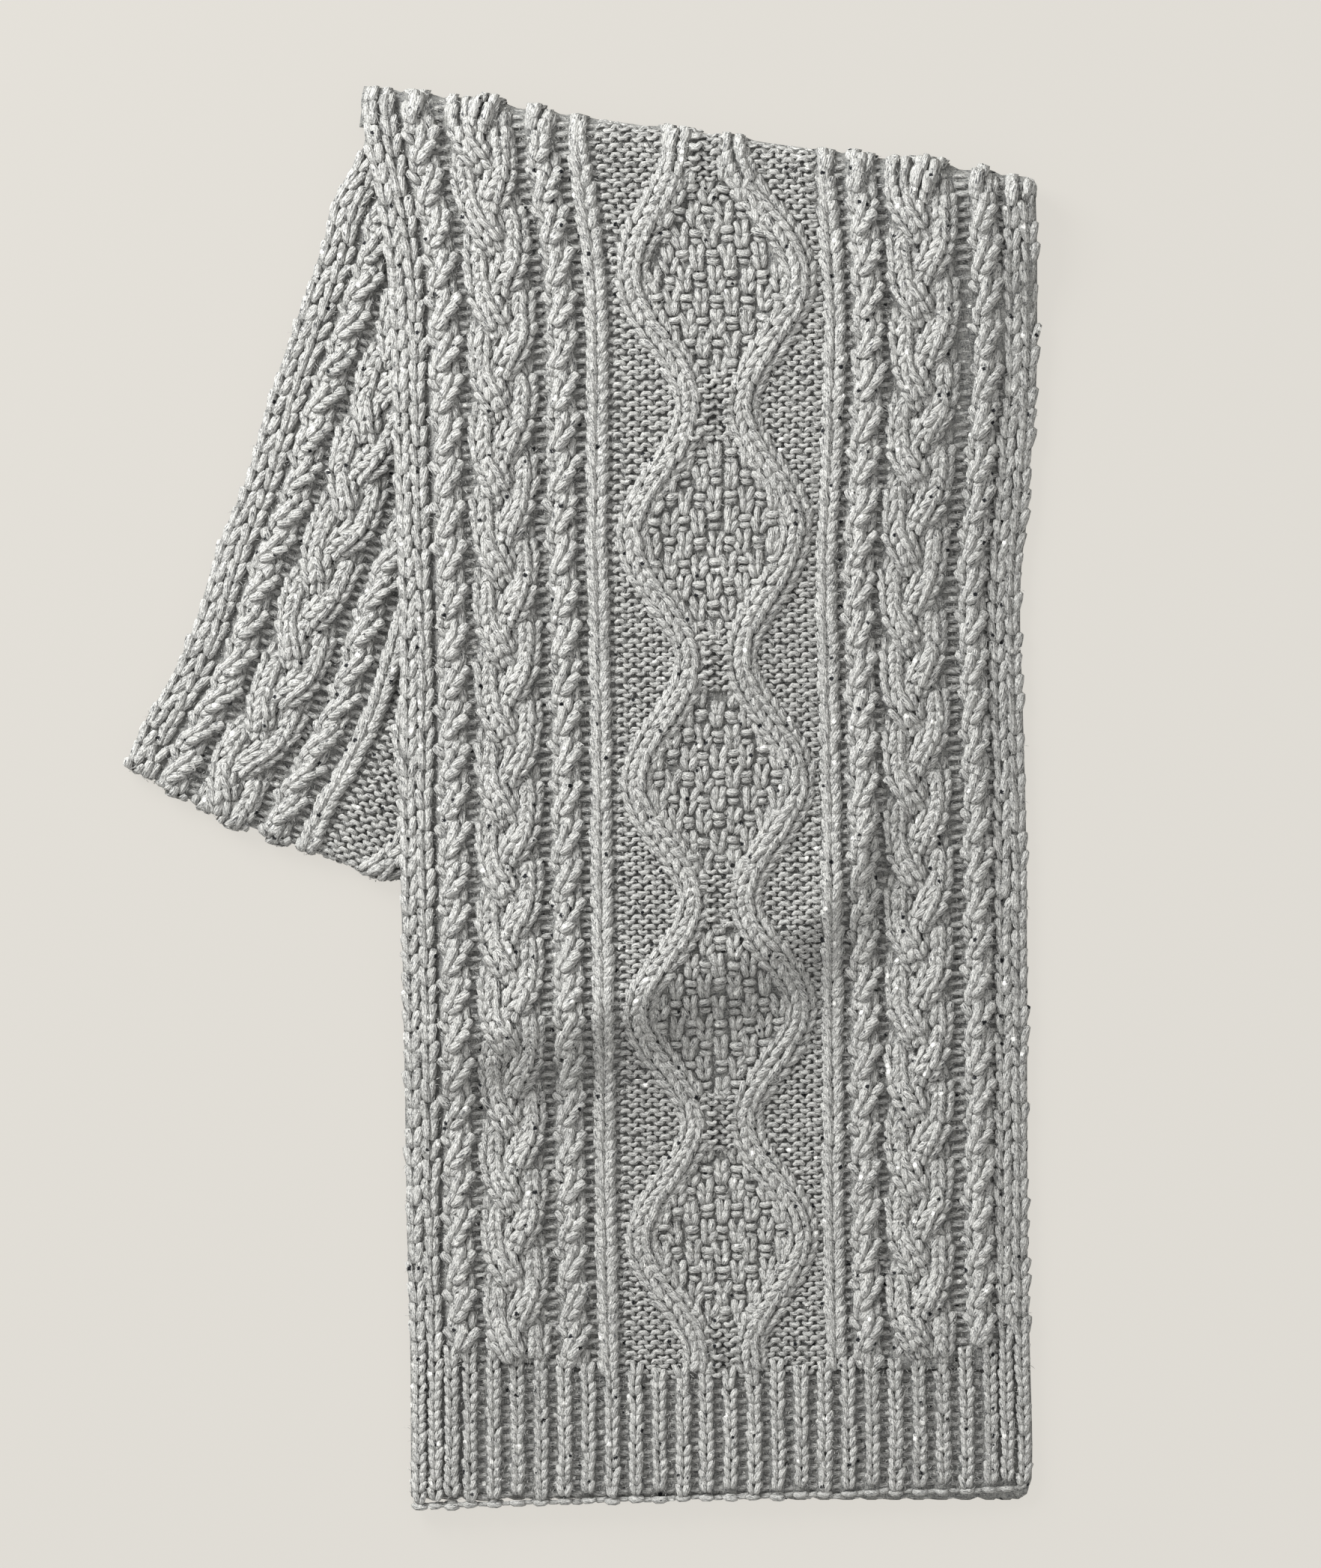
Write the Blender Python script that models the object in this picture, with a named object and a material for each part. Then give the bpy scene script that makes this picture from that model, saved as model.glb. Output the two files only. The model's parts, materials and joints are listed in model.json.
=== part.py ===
"""A cable-knit scarf, folded in half and then folded over on itself, lying flat.

The scarf is one knitted strip. It is folded in half across its width, wrong sides together,
with both ribbed ends at the bottom. That doubled strip is folded over at the top, so that a
shorter back stretch swings out to the left beneath the front stretch. What shows is the
front stretch, which rolls round the top fold, its ribbed hem, and a corner of the back
stretch with its end fold. The layers in between are one solid with a flat underside.

Sizes are in millimetres until a mesh is made, and MM turns them to metres. X is across, Y
runs from the ribbed ends to the top fold, and Z is up from the surface the scarf lies on.
"""

import math
from typing import Callable, NamedTuple

import bmesh
import bpy

MM = 0.001

# The knitted strip.
STRIP_WIDTH = 250.0
ROW_HEIGHT = 3.96
WALL = 3.0  # the plain knitted wall, without the raised work
LAYER = 5.0  # height that one hidden, squashed layer takes up
GAP = 0.3  # between neighbouring pieces

# The front stretch: its ends, and how far its left side has sunk below its right.
HEM_Y = -284.6
SEAM_SHARE = 0.099  # the ribbed hem's share of the stretch's length
FOLD_LEFT_Y = 284.8
FOLD_RIGHT_Y = 247.4
ROW_TILT = 3.6
HEM_CORNER = 7.0  # radius of the rounded corner at the right of the hem
FOLD_CORNER = 4.5  # and of the one at the right of the top fold

# The top fold rolls round the layers inside it.
FOLD_INSET = 9.6  # from the outline back to the line where the roll starts
FOLD_AXIS_Z = 2 * LAYER
FOLD_INNER = LAYER
FOLD_LIP = 8.0  # how far the cloth runs on underneath
LIP_INSET = FOLD_INSET + FOLD_LIP + 1.0  # where the layers beneath the lip stop
FOLD_ANGLES = (25, 50, 75, 100, 125, 150, 180)
TONGUE_ANGLES = (0, 30, 55, 75)  # the hidden layers' round end inside it

# The back stretch, in a frame of its own: it starts at the outer tip of its end fold.
TIP_X, TIP_Y = -183.0, 10.7
BACK_TURN = math.radians(23.0)
BACK_ACROSS = (math.cos(BACK_TURN), -math.sin(BACK_TURN))
BACK_ALONG = (math.sin(BACK_TURN), math.cos(BACK_TURN))
BACK_SHOWS = 120.0  # width of it that shows at the end fold
BACK_TOP = 268.0  # where its left edge goes under the front stretch
END_BEAD = LAYER  # radius of the end fold
END_BOW, END_BOW_SPAN = 3.2, 120.0  # how far the end fold bulges, over what width
END_ANGLES = (180, 150, 120, 90, 60, 30)
END_FOOT = 1.0  # how far the end fold's solid bead runs on past its middle
TUCK = 1.0  # how far the back stretch reaches in under the front one's edge
SIDE_INSET = 1.3  # how far the hidden layers' sides stay in from the front stretch's edge
ROUND_OFF = 0.9  # rounding of a hidden layer's edge

# The raised work, above the plain wall.
SELVEDGE_RISE = 1.5
ROPE_RISE = 3.2
PLAIT_RISE = 3.4
RIB_RISE = 2.2
LINE_RISE = 3.2
MOSS_RISE = 1.1
HEM_RIB_RISE = 2.0

ROPE_ROWS = 4  # rows from one crossing to the next
PLAIT_ROWS = 8  # rows from one crossing to the right to the next
FIRST_CROSSING = 5.6  # row of the first one
PLAIT_SLOT, PLAIT_STRAND = 0.64, 0.40  # outer strands' places and half-widths, as shares
PINCH_ROWS = (-24.0, 0.0, 24.0, 46.9, 71.2, 96.0, 121.0, 145.0)  # where diamonds meet
BACK_FIRST_ROW = -4.4  # the lattice's row at the end fold
BACK_PLAIT_SHIFT = 4.0  # the plait there is half a repeat ahead of the lattice
DIAMOND_CENTRE = 126.9
DIAMOND_NARROW, DIAMOND_WIDE = 9.9, 32.7  # from the centre to each line
LINE_HALF = 6.4  # half of a line's width at its foot
LINE_SHOULDER = 3.2

FINE_ROWS = 4 / 3  # rows between points on the cables
LINE_ROWS = 3
PLAIN_ROWS = 6

# The ribbed hem: plain wales at each side, and evenly spaced ribs between them.
HEM_SIDE_WALES = (3.4, 10.0, 16.6)
HEM_FIRST_RIB, HEM_RIB_PITCH, HEM_RIBS = 24.0, 9.51, 22
HEM_RIB_HALF = 1.7
HEM_SCALLOP = 1.2

WOOL = (0.40, 0.41, 0.40, 1.0)
WOOL_SHADES = {
    "front_panel": 1.0,
    "front_ribbed_hem": 0.95,
    "back_panel": 0.9,
    "folded_layers": 0.75,
    "under_ribbed_hem": 0.8,
}


class EdgePoint(NamedTuple):
    """A point on a side edge of the front stretch."""

    y: float
    x: float


class RowPoint(NamedTuple):
    """Where a row of knitting lies along the middle of the front stretch."""

    row: float
    y: float


class BackPoint(NamedTuple):
    """How far the back stretch's left edge strays sideways, at a distance from its end."""

    along: float
    stray: float


class Band(NamedTuple):
    """One band of the pattern, by its distance from the strip's left edge."""

    kind: str
    start: float
    end: float


LEFT_EDGE = (
    EdgePoint(-284.0, -68.2),
    EdgePoint(-222.0, -68.6),
    EdgePoint(-170.0, -70.0),
    EdgePoint(-91.0, -71.0),
    EdgePoint(-28.0, -72.0),
    EdgePoint(66.0, -72.5),
    EdgePoint(113.0, -74.0),
    EdgePoint(160.0, -75.5),
    EdgePoint(192.0, -76.5),
    EdgePoint(223.0, -79.0),
    EdgePoint(257.0, -85.5),
    EdgePoint(284.0, -89.0),
)
RIGHT_EDGE = (
    EdgePoint(-284.0, 180.8),
    EdgePoint(-264.0, 181.4),
    EdgePoint(-229.0, 180.5),
    EdgePoint(-193.0, 179.5),
    EdgePoint(-28.0, 179.0),
    EdgePoint(35.0, 177.5),
    EdgePoint(66.0, 176.5),
    EdgePoint(91.0, 177.0),
    EdgePoint(108.0, 179.0),
    EdgePoint(138.0, 181.0),
    EdgePoint(168.0, 183.0),
    EdgePoint(208.0, 183.0),
    EdgePoint(246.0, 182.0),
)
ROW_LINES = (
    RowPoint(-14.5, -283.0),
    RowPoint(5.6, -203.6),
    RowPoint(29.6, -110.7),
    RowPoint(53.6, -17.4),
    RowPoint(77.6, 78.2),
    RowPoint(101.6, 177.6),
    RowPoint(117.6, 244.1),
    RowPoint(133.6, 308.0),
)
BACK_EDGE = (
    BackPoint(0.0, 0.0),
    BackPoint(18.0, 0.5),
    BackPoint(43.0, 3.5),
    BackPoint(64.0, 3.6),
    BackPoint(97.0, 0.1),
    BackPoint(123.0, 0.1),
    BackPoint(156.0, -4.0),
    BackPoint(186.0, -6.0),
    BackPoint(225.0, -8.7),
    BackPoint(240.0, -11.5),
    BackPoint(268.0, -8.6),
    BackPoint(300.0, -8.0),
)
BANDS = (
    Band("selvedge", 0.0, 13.2),
    Band("rope", 14.1, 27.9),
    Band("plait", 30.3, 56.4),
    Band("rope", 60.0, 72.6),
    Band("rib", 76.2, 84.3),
    Band("lattice", 86.0, 166.0),
    Band("rib", 167.4, 176.1),
    Band("rope", 178.5, 190.8),
    Band("plait", 192.9, 219.9),
    Band("rope", 224.7, 235.8),
    Band("selvedge", 237.3, 250.0),
)
# Places of the points across a band, from -1 at its left side to 1 at its right.
BAND_POINTS = {
    "selvedge": (-0.45, 0.45),
    "rope": (-0.9, -0.35, 0.3, 0.88),
    "plait": (-0.95, -0.64, -0.32, 0.0, 0.32, 0.64, 0.95),
    "rib": (-0.55, 0.55),
}
BAND_ROWS = {"selvedge": 4, "rope": FINE_ROWS, "plait": FINE_ROWS, "rib": PLAIN_ROWS}

UNDER_STEPS = 14  # strips across the plain inside of the front stretch
UNDER_EDGE = 0.8  # and how far in from the rim they start
BACK_INSIDE_STEPS = 16
STATIONS = 36  # sections along the hidden layers and along that inside


# Small sums.


def along_table(table, at):
    """A smooth value from a table of (place, value) rows, held level past its ends."""
    if at <= table[0][0]:
        return table[0][1]
    for i in range(len(table) - 1):
        (x0, y0), (x1, y1) = table[i], table[i + 1]
        if at <= x1:
            before = table[max(i - 1, 0)]
            after = table[min(i + 2, len(table) - 1)]
            slope0 = (y1 - before[1]) / (x1 - before[0])
            slope1 = (after[1] - y0) / (after[0] - x0)
            t, wide = (at - x0) / (x1 - x0), x1 - x0
            near, far = (1 + 2 * t) * (1 - t) ** 2, t * t * (3 - 2 * t)
            turn0, turn1 = t * (1 - t) ** 2 * wide, t * t * (t - 1) * wide
            return near * y0 + far * y1 + turn0 * slope0 + turn1 * slope1
    return table[-1][1]


def straight_between(table, at):
    """A value read straight between the rows of a table."""
    for (x0, y0), (x1, y1) in zip(table, table[1:]):
        if at <= x1:
            return y0 + (y1 - y0) * (at - x0) / (x1 - x0)
    return table[-1][1]


def smooth(low, high, at):
    """0 at low, 1 at high, with a soft start and end."""
    t = min(max((at - low) / (high - low), 0.0), 1.0)
    return t * t * (3 - 2 * t)


def dome(t):
    """A round cross-section: 1 in the middle, 0 at -1 and 1."""
    return math.sqrt(max(0.0, 1 - t * t))


def soft_least(a, b, blend):
    """The lesser of two numbers, rounded off where they are about the same."""
    near = max(blend - abs(a - b), 0.0) / blend
    return min(a, b) - near * near * blend / 4


# Where the cloth lies, seen from above.


def front_ends(across):
    """(y at the hem, y at the top fold) of a line along the front stretch."""
    share = across / STRIP_WIDTH
    return HEM_Y, FOLD_LEFT_Y + (FOLD_RIGHT_Y - FOLD_LEFT_Y) * share


def front_plan(across, share):
    """(x, y) of a point of the front stretch: share is 0 at the hem and 1 at the top fold."""
    u = across / STRIP_WIDTH
    y_left = HEM_Y + (FOLD_LEFT_Y - HEM_Y) * share
    y_right = HEM_Y + (FOLD_RIGHT_Y - HEM_Y) * share
    x_left = along_table(LEFT_EDGE, y_left)
    x_right = along_table(RIGHT_EDGE, y_right)
    return x_left + (x_right - x_left) * u, y_left + (y_right - y_left) * u


def front_share(across, row):
    """How far along the front stretch a row lies, on the line at this distance across."""
    low, high = front_ends(across)
    y = straight_between(ROW_LINES, row) - ROW_TILT * (1 - 2 * across / STRIP_WIDTH)
    return (y - low) / (high - low)


def front_row(across, share):
    """The row at a point of the front stretch."""
    low, high = front_ends(across)
    y = low + (high - low) * share + ROW_TILT * (1 - 2 * across / STRIP_WIDTH)
    return straight_between([(line.y, line.row) for line in ROW_LINES], y)


def inset_share(across, inset):
    """The share at this distance short of the top fold."""
    low, high = front_ends(across)
    return 1 - inset / (high - low)


def fold_normal():
    """The way that the top fold faces, seen from above."""
    left, right = front_plan(0, 1), front_plan(STRIP_WIDTH, 1)
    wide, drop = right[0] - left[0], left[1] - right[1]
    return drop / math.hypot(wide, drop), wide / math.hypot(wide, drop)


FOLD_NORMAL = fold_normal()


def rounded_corner(across, radius):
    """How far a corner of this radius at the strip's right side cuts the outline back."""
    beyond = across - (STRIP_WIDTH - radius)
    return radius - math.sqrt(radius**2 - beyond**2) if beyond > 0 else 0.0


def back_plan(across, along):
    """(x, y) of a point of the back stretch, along from its end fold."""
    aside = across + along_table(BACK_EDGE, along)
    return (
        TIP_X + aside * BACK_ACROSS[0] + along * BACK_ALONG[0],
        TIP_Y + aside * BACK_ACROSS[1] + along * BACK_ALONG[1],
    )


def end_bow(across):
    """How far the end fold bulges past a straight line."""
    return END_BOW * math.sin(math.pi * min(across / END_BOW_SPAN, 1.0))


def inside_back(x, y):
    """How far a point lies inside the back stretch's outline, past its end and right side."""
    from_end = (x - TIP_X) * BACK_ALONG[0] + (y - TIP_Y) * BACK_ALONG[1]
    corner_x = TIP_X + STRIP_WIDTH * BACK_ACROSS[0]
    corner_y = TIP_Y + STRIP_WIDTH * BACK_ACROSS[1]
    top_x, top_y = front_plan(STRIP_WIDTH, 1)
    long = math.hypot(top_x - corner_x, top_y - corner_y)
    side = ((top_x - corner_x) / long, (top_y - corner_y) / long)
    from_side = (y - corner_y) * side[0] - (x - corner_x) * side[1]
    return soft_least(from_end, from_side, 12.0)


def bed(x, y):
    """Height of what the front stretch lies on: one layer, or three over the back stretch."""
    left = front_plan(0, 1)
    from_fold = (left[0] - x) * FOLD_NORMAL[0] + (left[1] - y) * FOLD_NORMAL[1]
    over_back = smooth(-36, 4, inside_back(x, y))
    by_fold = 1 - smooth(FOLD_INSET + FOLD_LIP + 2, 56, from_fold)
    return LAYER + 2 * LAYER * (1 - (1 - over_back) * (1 - by_fold))


# The raised work.


def diamond_reach(row):
    """Distance from the lattice's centre to each of its two lines."""
    pinches = [(at, i) for i, at in enumerate(PINCH_ROWS)]
    swing = 0.5 - 0.5 * math.cos(2 * math.pi * straight_between(pinches, row))
    return DIAMOND_NARROW + (DIAMOND_WIDE - DIAMOND_NARROW) * swing


def lattice_rise(across, row):
    """Two travelling lines with a puffed moss-stitch diamond between them."""
    reach = diamond_reach(row)
    out = abs(across - DIAMOND_CENTRE)
    line = LINE_RISE * dome((out - reach) / LINE_HALF)
    moss = MOSS_RISE * math.sqrt(max(0.0, 1 - (out / reach) ** 2)) if out < reach else 0.0
    return max(line, moss)


def rope_rise(t, row):
    """A small cable that twists up to the right."""
    lump = 0.5 + 0.5 * math.cos(2 * math.pi * ((row - FIRST_CROSSING) / ROPE_ROWS - 0.42 * t))
    return ROPE_RISE * dome(t) * (0.62 + 0.38 * lump)


def plait_rise(t, row):
    """Three flat strands: each in turn passes from the middle over its neighbour."""
    best = 0.0
    for strand in range(3):
        since = (row - FIRST_CROSSING) / PLAIT_ROWS + strand
        place = PLAIT_SLOT * math.sin(2 * math.pi * (since + 0.25) / 3)
        lift = 0.5 + 0.5 * math.cos(4 * math.pi * (since - 0.12) / 3)
        section = dome((t - place) / PLAIT_STRAND)
        best = max(best, section * (0.55 + 0.45 * lift))
    return PLAIT_RISE * best


def rise(across, row, plait_shift=0.0):
    """Height of the raised work above the plain wall."""
    for band in BANDS:
        if not band.start <= across <= band.end:
            continue
        t = 2 * (across - band.start) / (band.end - band.start) - 1
        if band.kind == "selvedge":
            return SELVEDGE_RISE * dome(0.85 * t)
        if band.kind == "rope":
            return rope_rise(t, row)
        if band.kind == "plait":
            return plait_rise(t, row + plait_shift)
        if band.kind == "rib":
            return RIB_RISE * dome(t)
        return lattice_rise(across, row)
    return 0.0


# Lines of points along the strip. A chain is a list of (key, point), with keys that grow.


class Line(NamedTuple):
    """A line of points along the strip: where it runs across, and the rows between points."""

    place: Callable[[float], float]
    rows: float


def fixed(across):
    """A line that stays at one distance from the left edge."""
    return lambda row: across


def lattice_place(side, offset):
    """A line beside one of the lattice's two, at an offset towards the outside."""
    return lambda row: DIAMOND_CENTRE + side * (diamond_reach(row) + offset)


def moss_place(share):
    """A line inside the diamonds, at a share of the way from the centre to a lattice line."""
    return lambda row: DIAMOND_CENTRE + share * (diamond_reach(row) - LINE_HALF)


def pattern_lines():
    """The lines of points across the whole pattern, left to right."""
    lines = []
    last = None
    for band in BANDS:
        if last is not None:
            rows = LINE_ROWS if "lattice" in (last.kind, band.kind) else PLAIN_ROWS
            lines.append(Line(fixed((last.end + band.start) / 2), rows))
        last = band
        if band.kind == "lattice":
            offsets = (LINE_HALF, LINE_SHOULDER, -LINE_SHOULDER, -LINE_HALF)
            lines += [Line(lattice_place(-1, offset), LINE_ROWS) for offset in offsets]
            lines += [Line(moss_place(share), LINE_ROWS) for share in (-0.4, 0.4)]
            lines += [Line(lattice_place(1, offset), LINE_ROWS) for offset in reversed(offsets)]
            continue
        middle, half = (band.start + band.end) / 2, (band.end - band.start) / 2
        for t in BAND_POINTS[band.kind]:
            lines.append(Line(fixed(middle + half * t), BAND_ROWS[band.kind]))
    return lines


def rows_between(low, high, step):
    """low, the multiples of step between it and high, and high."""
    first = math.ceil((low + 0.4 * step) / step)
    count = math.floor((high - 0.4 * step) / step) - first + 1
    return [low] + [(first + i) * step for i in range(max(count, 0))] + [high]


def roll_point(across, angle, radius):
    """A point of the roll at the top fold, at this angle and radius from its axis."""
    x, y = front_plan(across, inset_share(across, FOLD_INSET))
    out = radius * math.sin(angle) - rounded_corner(across, FOLD_CORNER) * math.sin(angle)
    return (
        x + FOLD_NORMAL[0] * out,
        y + FOLD_NORMAL[1] * out,
        FOLD_AXIS_Z + radius * math.cos(angle),
    )


def roll_chain(across, radius_at):
    """The end of a chain: round the top fold, and the lip that runs on underneath."""
    chain = []
    for degrees in FOLD_ANGLES:
        angle = math.radians(degrees)
        point = roll_point(across, angle, radius_at(angle))
        chain.append((1 + degrees / 180, point))
    x, y, z = chain[-1][1]
    lip = (x - FOLD_NORMAL[0] * FOLD_LIP, y - FOLD_NORMAL[1] * FOLD_LIP, z)
    return chain + [(3.0, lip)]


def front_outer_chain(line):
    """A chain on the face of the front stretch, from the seam to the lip under the fold."""
    chain = []
    across = line.place(0)
    top = front_row(across, inset_share(across, FOLD_INSET))
    across_top = line.place(top)
    top = front_row(across_top, inset_share(across_top, FOLD_INSET))
    bottom = front_row(across, SEAM_SHARE)
    for row in rows_between(bottom, top, line.rows):
        across = line.place(row)
        share = front_share(across, row)
        if row == bottom:
            share = SEAM_SHARE
        if row == top:
            share = inset_share(across, FOLD_INSET)
        x, y = front_plan(across, share)
        chain.append((share, (x, y, bed(x, y) + WALL + rise(across, row))))

    def radius_at(angle):
        row = top + angle * (FOLD_INNER + WALL / 2) / ROW_HEIGHT
        raised = rise(across, row) * (1 - smooth(1.0, 2.9, angle))
        return FOLD_INNER + WALL + raised + (LAYER - WALL) * smooth(0.5, math.pi, angle)

    return chain + roll_chain(across, radius_at)


def ledge_room(x, y):
    """How far a point is inside the room for hidden layers beneath the back stretch."""
    along = (x - TIP_X) * BACK_ALONG[0] + (y - TIP_Y) * BACK_ALONG[1]
    aside = (x - TIP_X) * BACK_ACROSS[0] + (y - TIP_Y) * BACK_ACROSS[1]
    across = aside - along_table(BACK_EDGE, along)
    behind_bead = along - (END_BEAD - end_bow(max(across, 0.0)) + END_FOOT + GAP)
    return min(behind_bead, across - SIDE_INSET)


def station_shares():
    """Sections along the front stretch that its inside and the hidden layers share."""
    top = inset_share(0, LIP_INSET)
    count = STATIONS - 2
    shares = [SEAM_SHARE + (top - SEAM_SHARE) * i / count for i in range(count + 1)]
    low, high = 0.0, 0.9
    for _ in range(40):
        middle = (low + high) / 2
        if ledge_room(*front_plan(0, middle)) < 0:
            low = middle
        else:
            high = middle
    nearest = min(range(1, count), key=lambda i: abs(shares[i] - high))
    shares[nearest] = high
    return shares + [inset_share(0, FOLD_INSET)]


SHARES = station_shares()


def station_plan(across, station):
    """(x, y) of a shared section: the last two keep level with the top fold."""
    inset = {STATIONS - 2: LIP_INSET, STATIONS - 1: FOLD_INSET}.get(station)
    if inset is None:
        return front_plan(across, SHARES[station])
    return front_plan(across, inset_share(across, inset))


def inside_places():
    """Distances across at which the front stretch's plain inside has its lines."""
    first = SIDE_INSET + ROUND_OFF
    wide = STRIP_WIDTH - 2 * first
    return [first + wide * i / UNDER_STEPS for i in range(UNDER_STEPS + 1)]


def station_chain(across, up, radius):
    """A chain along the shared sections, at a height above what the front stretch lies on."""
    chain = []
    for station in range(STATIONS):
        x, y = station_plan(across, station)
        chain.append((SHARES[station], (x, y, bed(x, y) + up)))
    return chain + roll_chain(across, lambda angle: radius)


# Meshes from chains.


def add_chain(mesh, chain):
    """The chain with each point made a vertex."""
    return [
        (key, mesh.verts.new((point[0] * MM, point[1] * MM, point[2] * MM)))
        for key, point in chain
    ]


def zip_chains(mesh, left, right):
    """Triangles between two neighbouring chains, matched by their keys."""
    i = j = 0
    while i < len(left) - 1 or j < len(right) - 1:
        step_left = j == len(right) - 1 or (
            i < len(left) - 1 and left[i + 1][0] <= right[j + 1][0] + 1e-9
        )
        if step_left:
            corners = (left[i][1], left[i + 1][1], right[j][1])
            i += 1
        else:
            corners = (left[i][1], right[j + 1][1], right[j][1])
            j += 1
        if len(set(corners)) == 3:
            mesh.faces.new(corners)


def wool(name):
    """A matt grey wool, a little different for each piece."""
    material = bpy.data.materials.new(name)
    material.use_nodes = True
    shade = WOOL_SHADES[name]
    shader = material.node_tree.nodes["Principled BSDF"]
    shader.inputs["Base Color"].default_value = [shade * part for part in WOOL[:3]] + [1.0]
    shader.inputs["Roughness"].default_value = 0.95
    shader.inputs["Metallic"].default_value = 0.0
    return material


def make_piece(name, mesh):
    """An object from a bmesh, with its faces turned outwards and its own wool."""
    bmesh.ops.recalc_face_normals(mesh, faces=mesh.faces)
    data = bpy.data.meshes.new(name)
    mesh.to_mesh(data)
    mesh.free()
    data.shade_smooth()
    data.set_sharp_from_angle(angle=math.radians(50))
    data.materials.append(wool(name))
    piece = bpy.data.objects.new(name, data)
    bpy.context.scene.collection.objects.link(piece)
    return piece


def end_row(chains, end):
    """The vertices at one end of the chains, keyed by how far they lie from the first."""
    vertices = [chain[end][1] for chain in chains]
    first = vertices[0].co.xy
    return [((vertex.co.xy - first).length, vertex) for vertex in vertices]


def make_wall(name, face, inside, rims, flat_end=None):
    """A knitted wall from the chains of its face and inside, left to right, and its two rims.

    flat_end is the end, 0 or -1, that is closed by one flat face.
    """
    mesh = bmesh.new()
    left, right = (add_chain(mesh, chain) for chain in rims)
    face = [left] + [add_chain(mesh, chain) for chain in face] + [right]
    inside = [left] + [add_chain(mesh, chain) for chain in inside] + [right]
    for around in (face, inside):
        for one, other in zip(around, around[1:]):
            zip_chains(mesh, one, other)
    for end in (0, -1):
        if end == flat_end:
            around = face + inside[-2:0:-1]
            mesh.faces.new([chain[end][1] for chain in around])
        else:
            zip_chains(mesh, end_row(face, end), end_row(inside, end))
    return make_piece(name, mesh)


# The pieces.


def make_front_panel():
    """The cabled front stretch, from the seam above the ribs to the lip under the top fold."""
    face = [front_outer_chain(line) for line in pattern_lines()]
    places = [UNDER_EDGE] + inside_places() + [STRIP_WIDTH - UNDER_EDGE]
    inside = [station_chain(across, 0.0, FOLD_INNER) for across in places]
    rims = [
        station_chain(across, WALL / 2, FOLD_INNER + WALL / 2) for across in (0.0, STRIP_WIDTH)
    ]
    return make_wall("front_panel", face, inside, rims, flat_end=0)


def hem_lines():
    """(distance across, rise, scallop) for the lines of points across the ribs."""
    wales = list(HEM_SIDE_WALES)
    wales += [HEM_FIRST_RIB + HEM_RIB_PITCH * i for i in range(HEM_RIBS)]
    wales += [STRIP_WIDTH - wale for wale in reversed(HEM_SIDE_WALES)]
    lines = []
    for i, wale in enumerate(wales):
        if i:
            beside = i < len(HEM_SIDE_WALES) or i > len(wales) - len(HEM_SIDE_WALES)
            groove = HEM_RIB_RISE / 2 if beside else 0.0
            lines.append(((wales[i - 1] + wale) / 2, groove, 0.0))
        lines.append((wale - HEM_RIB_HALF, HEM_RIB_RISE, HEM_SCALLOP))
        lines.append((wale + HEM_RIB_HALF, HEM_RIB_RISE, HEM_SCALLOP))
    return lines


def hem_start(across, scallop):
    """y of the cast-on edge."""
    return HEM_Y + HEM_SCALLOP - scallop + rounded_corner(across, HEM_CORNER)


def hem_chain(across, scallop, low, high, soft):
    """A chain along the hem between two heights: its cast-on end is rounded by soft."""
    start = hem_start(across, scallop)
    length = front_ends(across)[1] - HEM_Y
    top_share = SEAM_SHARE - GAP / length
    top = HEM_Y + length * top_share
    chain = []
    for y, z in (
        (start, (low + high) / 2 if soft else low),
        (start + 1.6, high),
        ((start + top) / 2, high),
        (top, high),
    ):
        share = (y - HEM_Y) / length
        x, y = front_plan(across, share)
        chain.append((round(share, 6), (x, y, z)))
    return chain


def make_hem(name, floor, wall, rise_share):
    """A ribbed hem, whose inside or underside lies level at floor."""
    face = [
        hem_chain(across, scallop, floor, floor + wall + rise_share * up, True)
        for across, up, scallop in hem_lines()
    ]
    places = [UNDER_EDGE] + inside_places() + [STRIP_WIDTH - UNDER_EDGE]
    inside = [hem_chain(across, -0.6, floor, floor, False) for across in places]
    rims = [
        hem_chain(across, -0.3, floor + wall / 2, floor + wall / 2, False)
        for across in (0.0, STRIP_WIDTH)
    ]
    return make_wall(name, face, inside, rims, flat_end=-1)


def back_cut(place):
    """Distance along the back stretch at which the front stretch's edge covers a line."""
    low, high = 0.0, BACK_TOP + 20
    for _ in range(40):
        middle = (low + high) / 2
        x, y = back_plan(place(BACK_FIRST_ROW + middle / ROW_HEIGHT), middle)
        if x < along_table(LEFT_EDGE, y) + TUCK:
            low = middle
        else:
            high = middle
    return low


def back_chain(place, step, radius_at, height_at):
    """A chain of the back stretch: round its end fold, then along until it is covered."""
    chain = []
    start = END_BEAD - end_bow(place(BACK_FIRST_ROW))
    across = place(BACK_FIRST_ROW + start / ROW_HEIGHT)
    x, y = back_plan(across, start)
    for degrees in END_ANGLES:
        angle = math.radians(degrees)
        out = radius_at(angle) * math.sin(angle)
        z = LAYER + radius_at(angle) * math.cos(angle)
        chain.append((-degrees / 180, (x - BACK_ALONG[0] * out, y - BACK_ALONG[1] * out, z)))
    end = max(back_cut(place), start + 1.0)
    for row in rows_between(start / ROW_HEIGHT, end / ROW_HEIGHT, step):
        across = place(BACK_FIRST_ROW + row)
        x, y = back_plan(across, row * ROW_HEIGHT)
        chain.append((row, (x, y, height_at(row))))
    return chain


def back_face_chain(line):
    """A chain on the face of the back stretch."""

    def raised(row):
        return rise(line.place(BACK_FIRST_ROW + row), BACK_FIRST_ROW + row, BACK_PLAIT_SHIFT)

    def radius_at(angle):
        up = raised(1 - angle * END_BEAD / ROW_HEIGHT) * (1 - smooth(0.4, 2.4, angle))
        return WALL + up + (END_BEAD - WALL) * smooth(0.0, 1.4, angle)

    return back_chain(line.place, line.rows, radius_at, lambda row: LAYER + WALL + raised(row))


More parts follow.
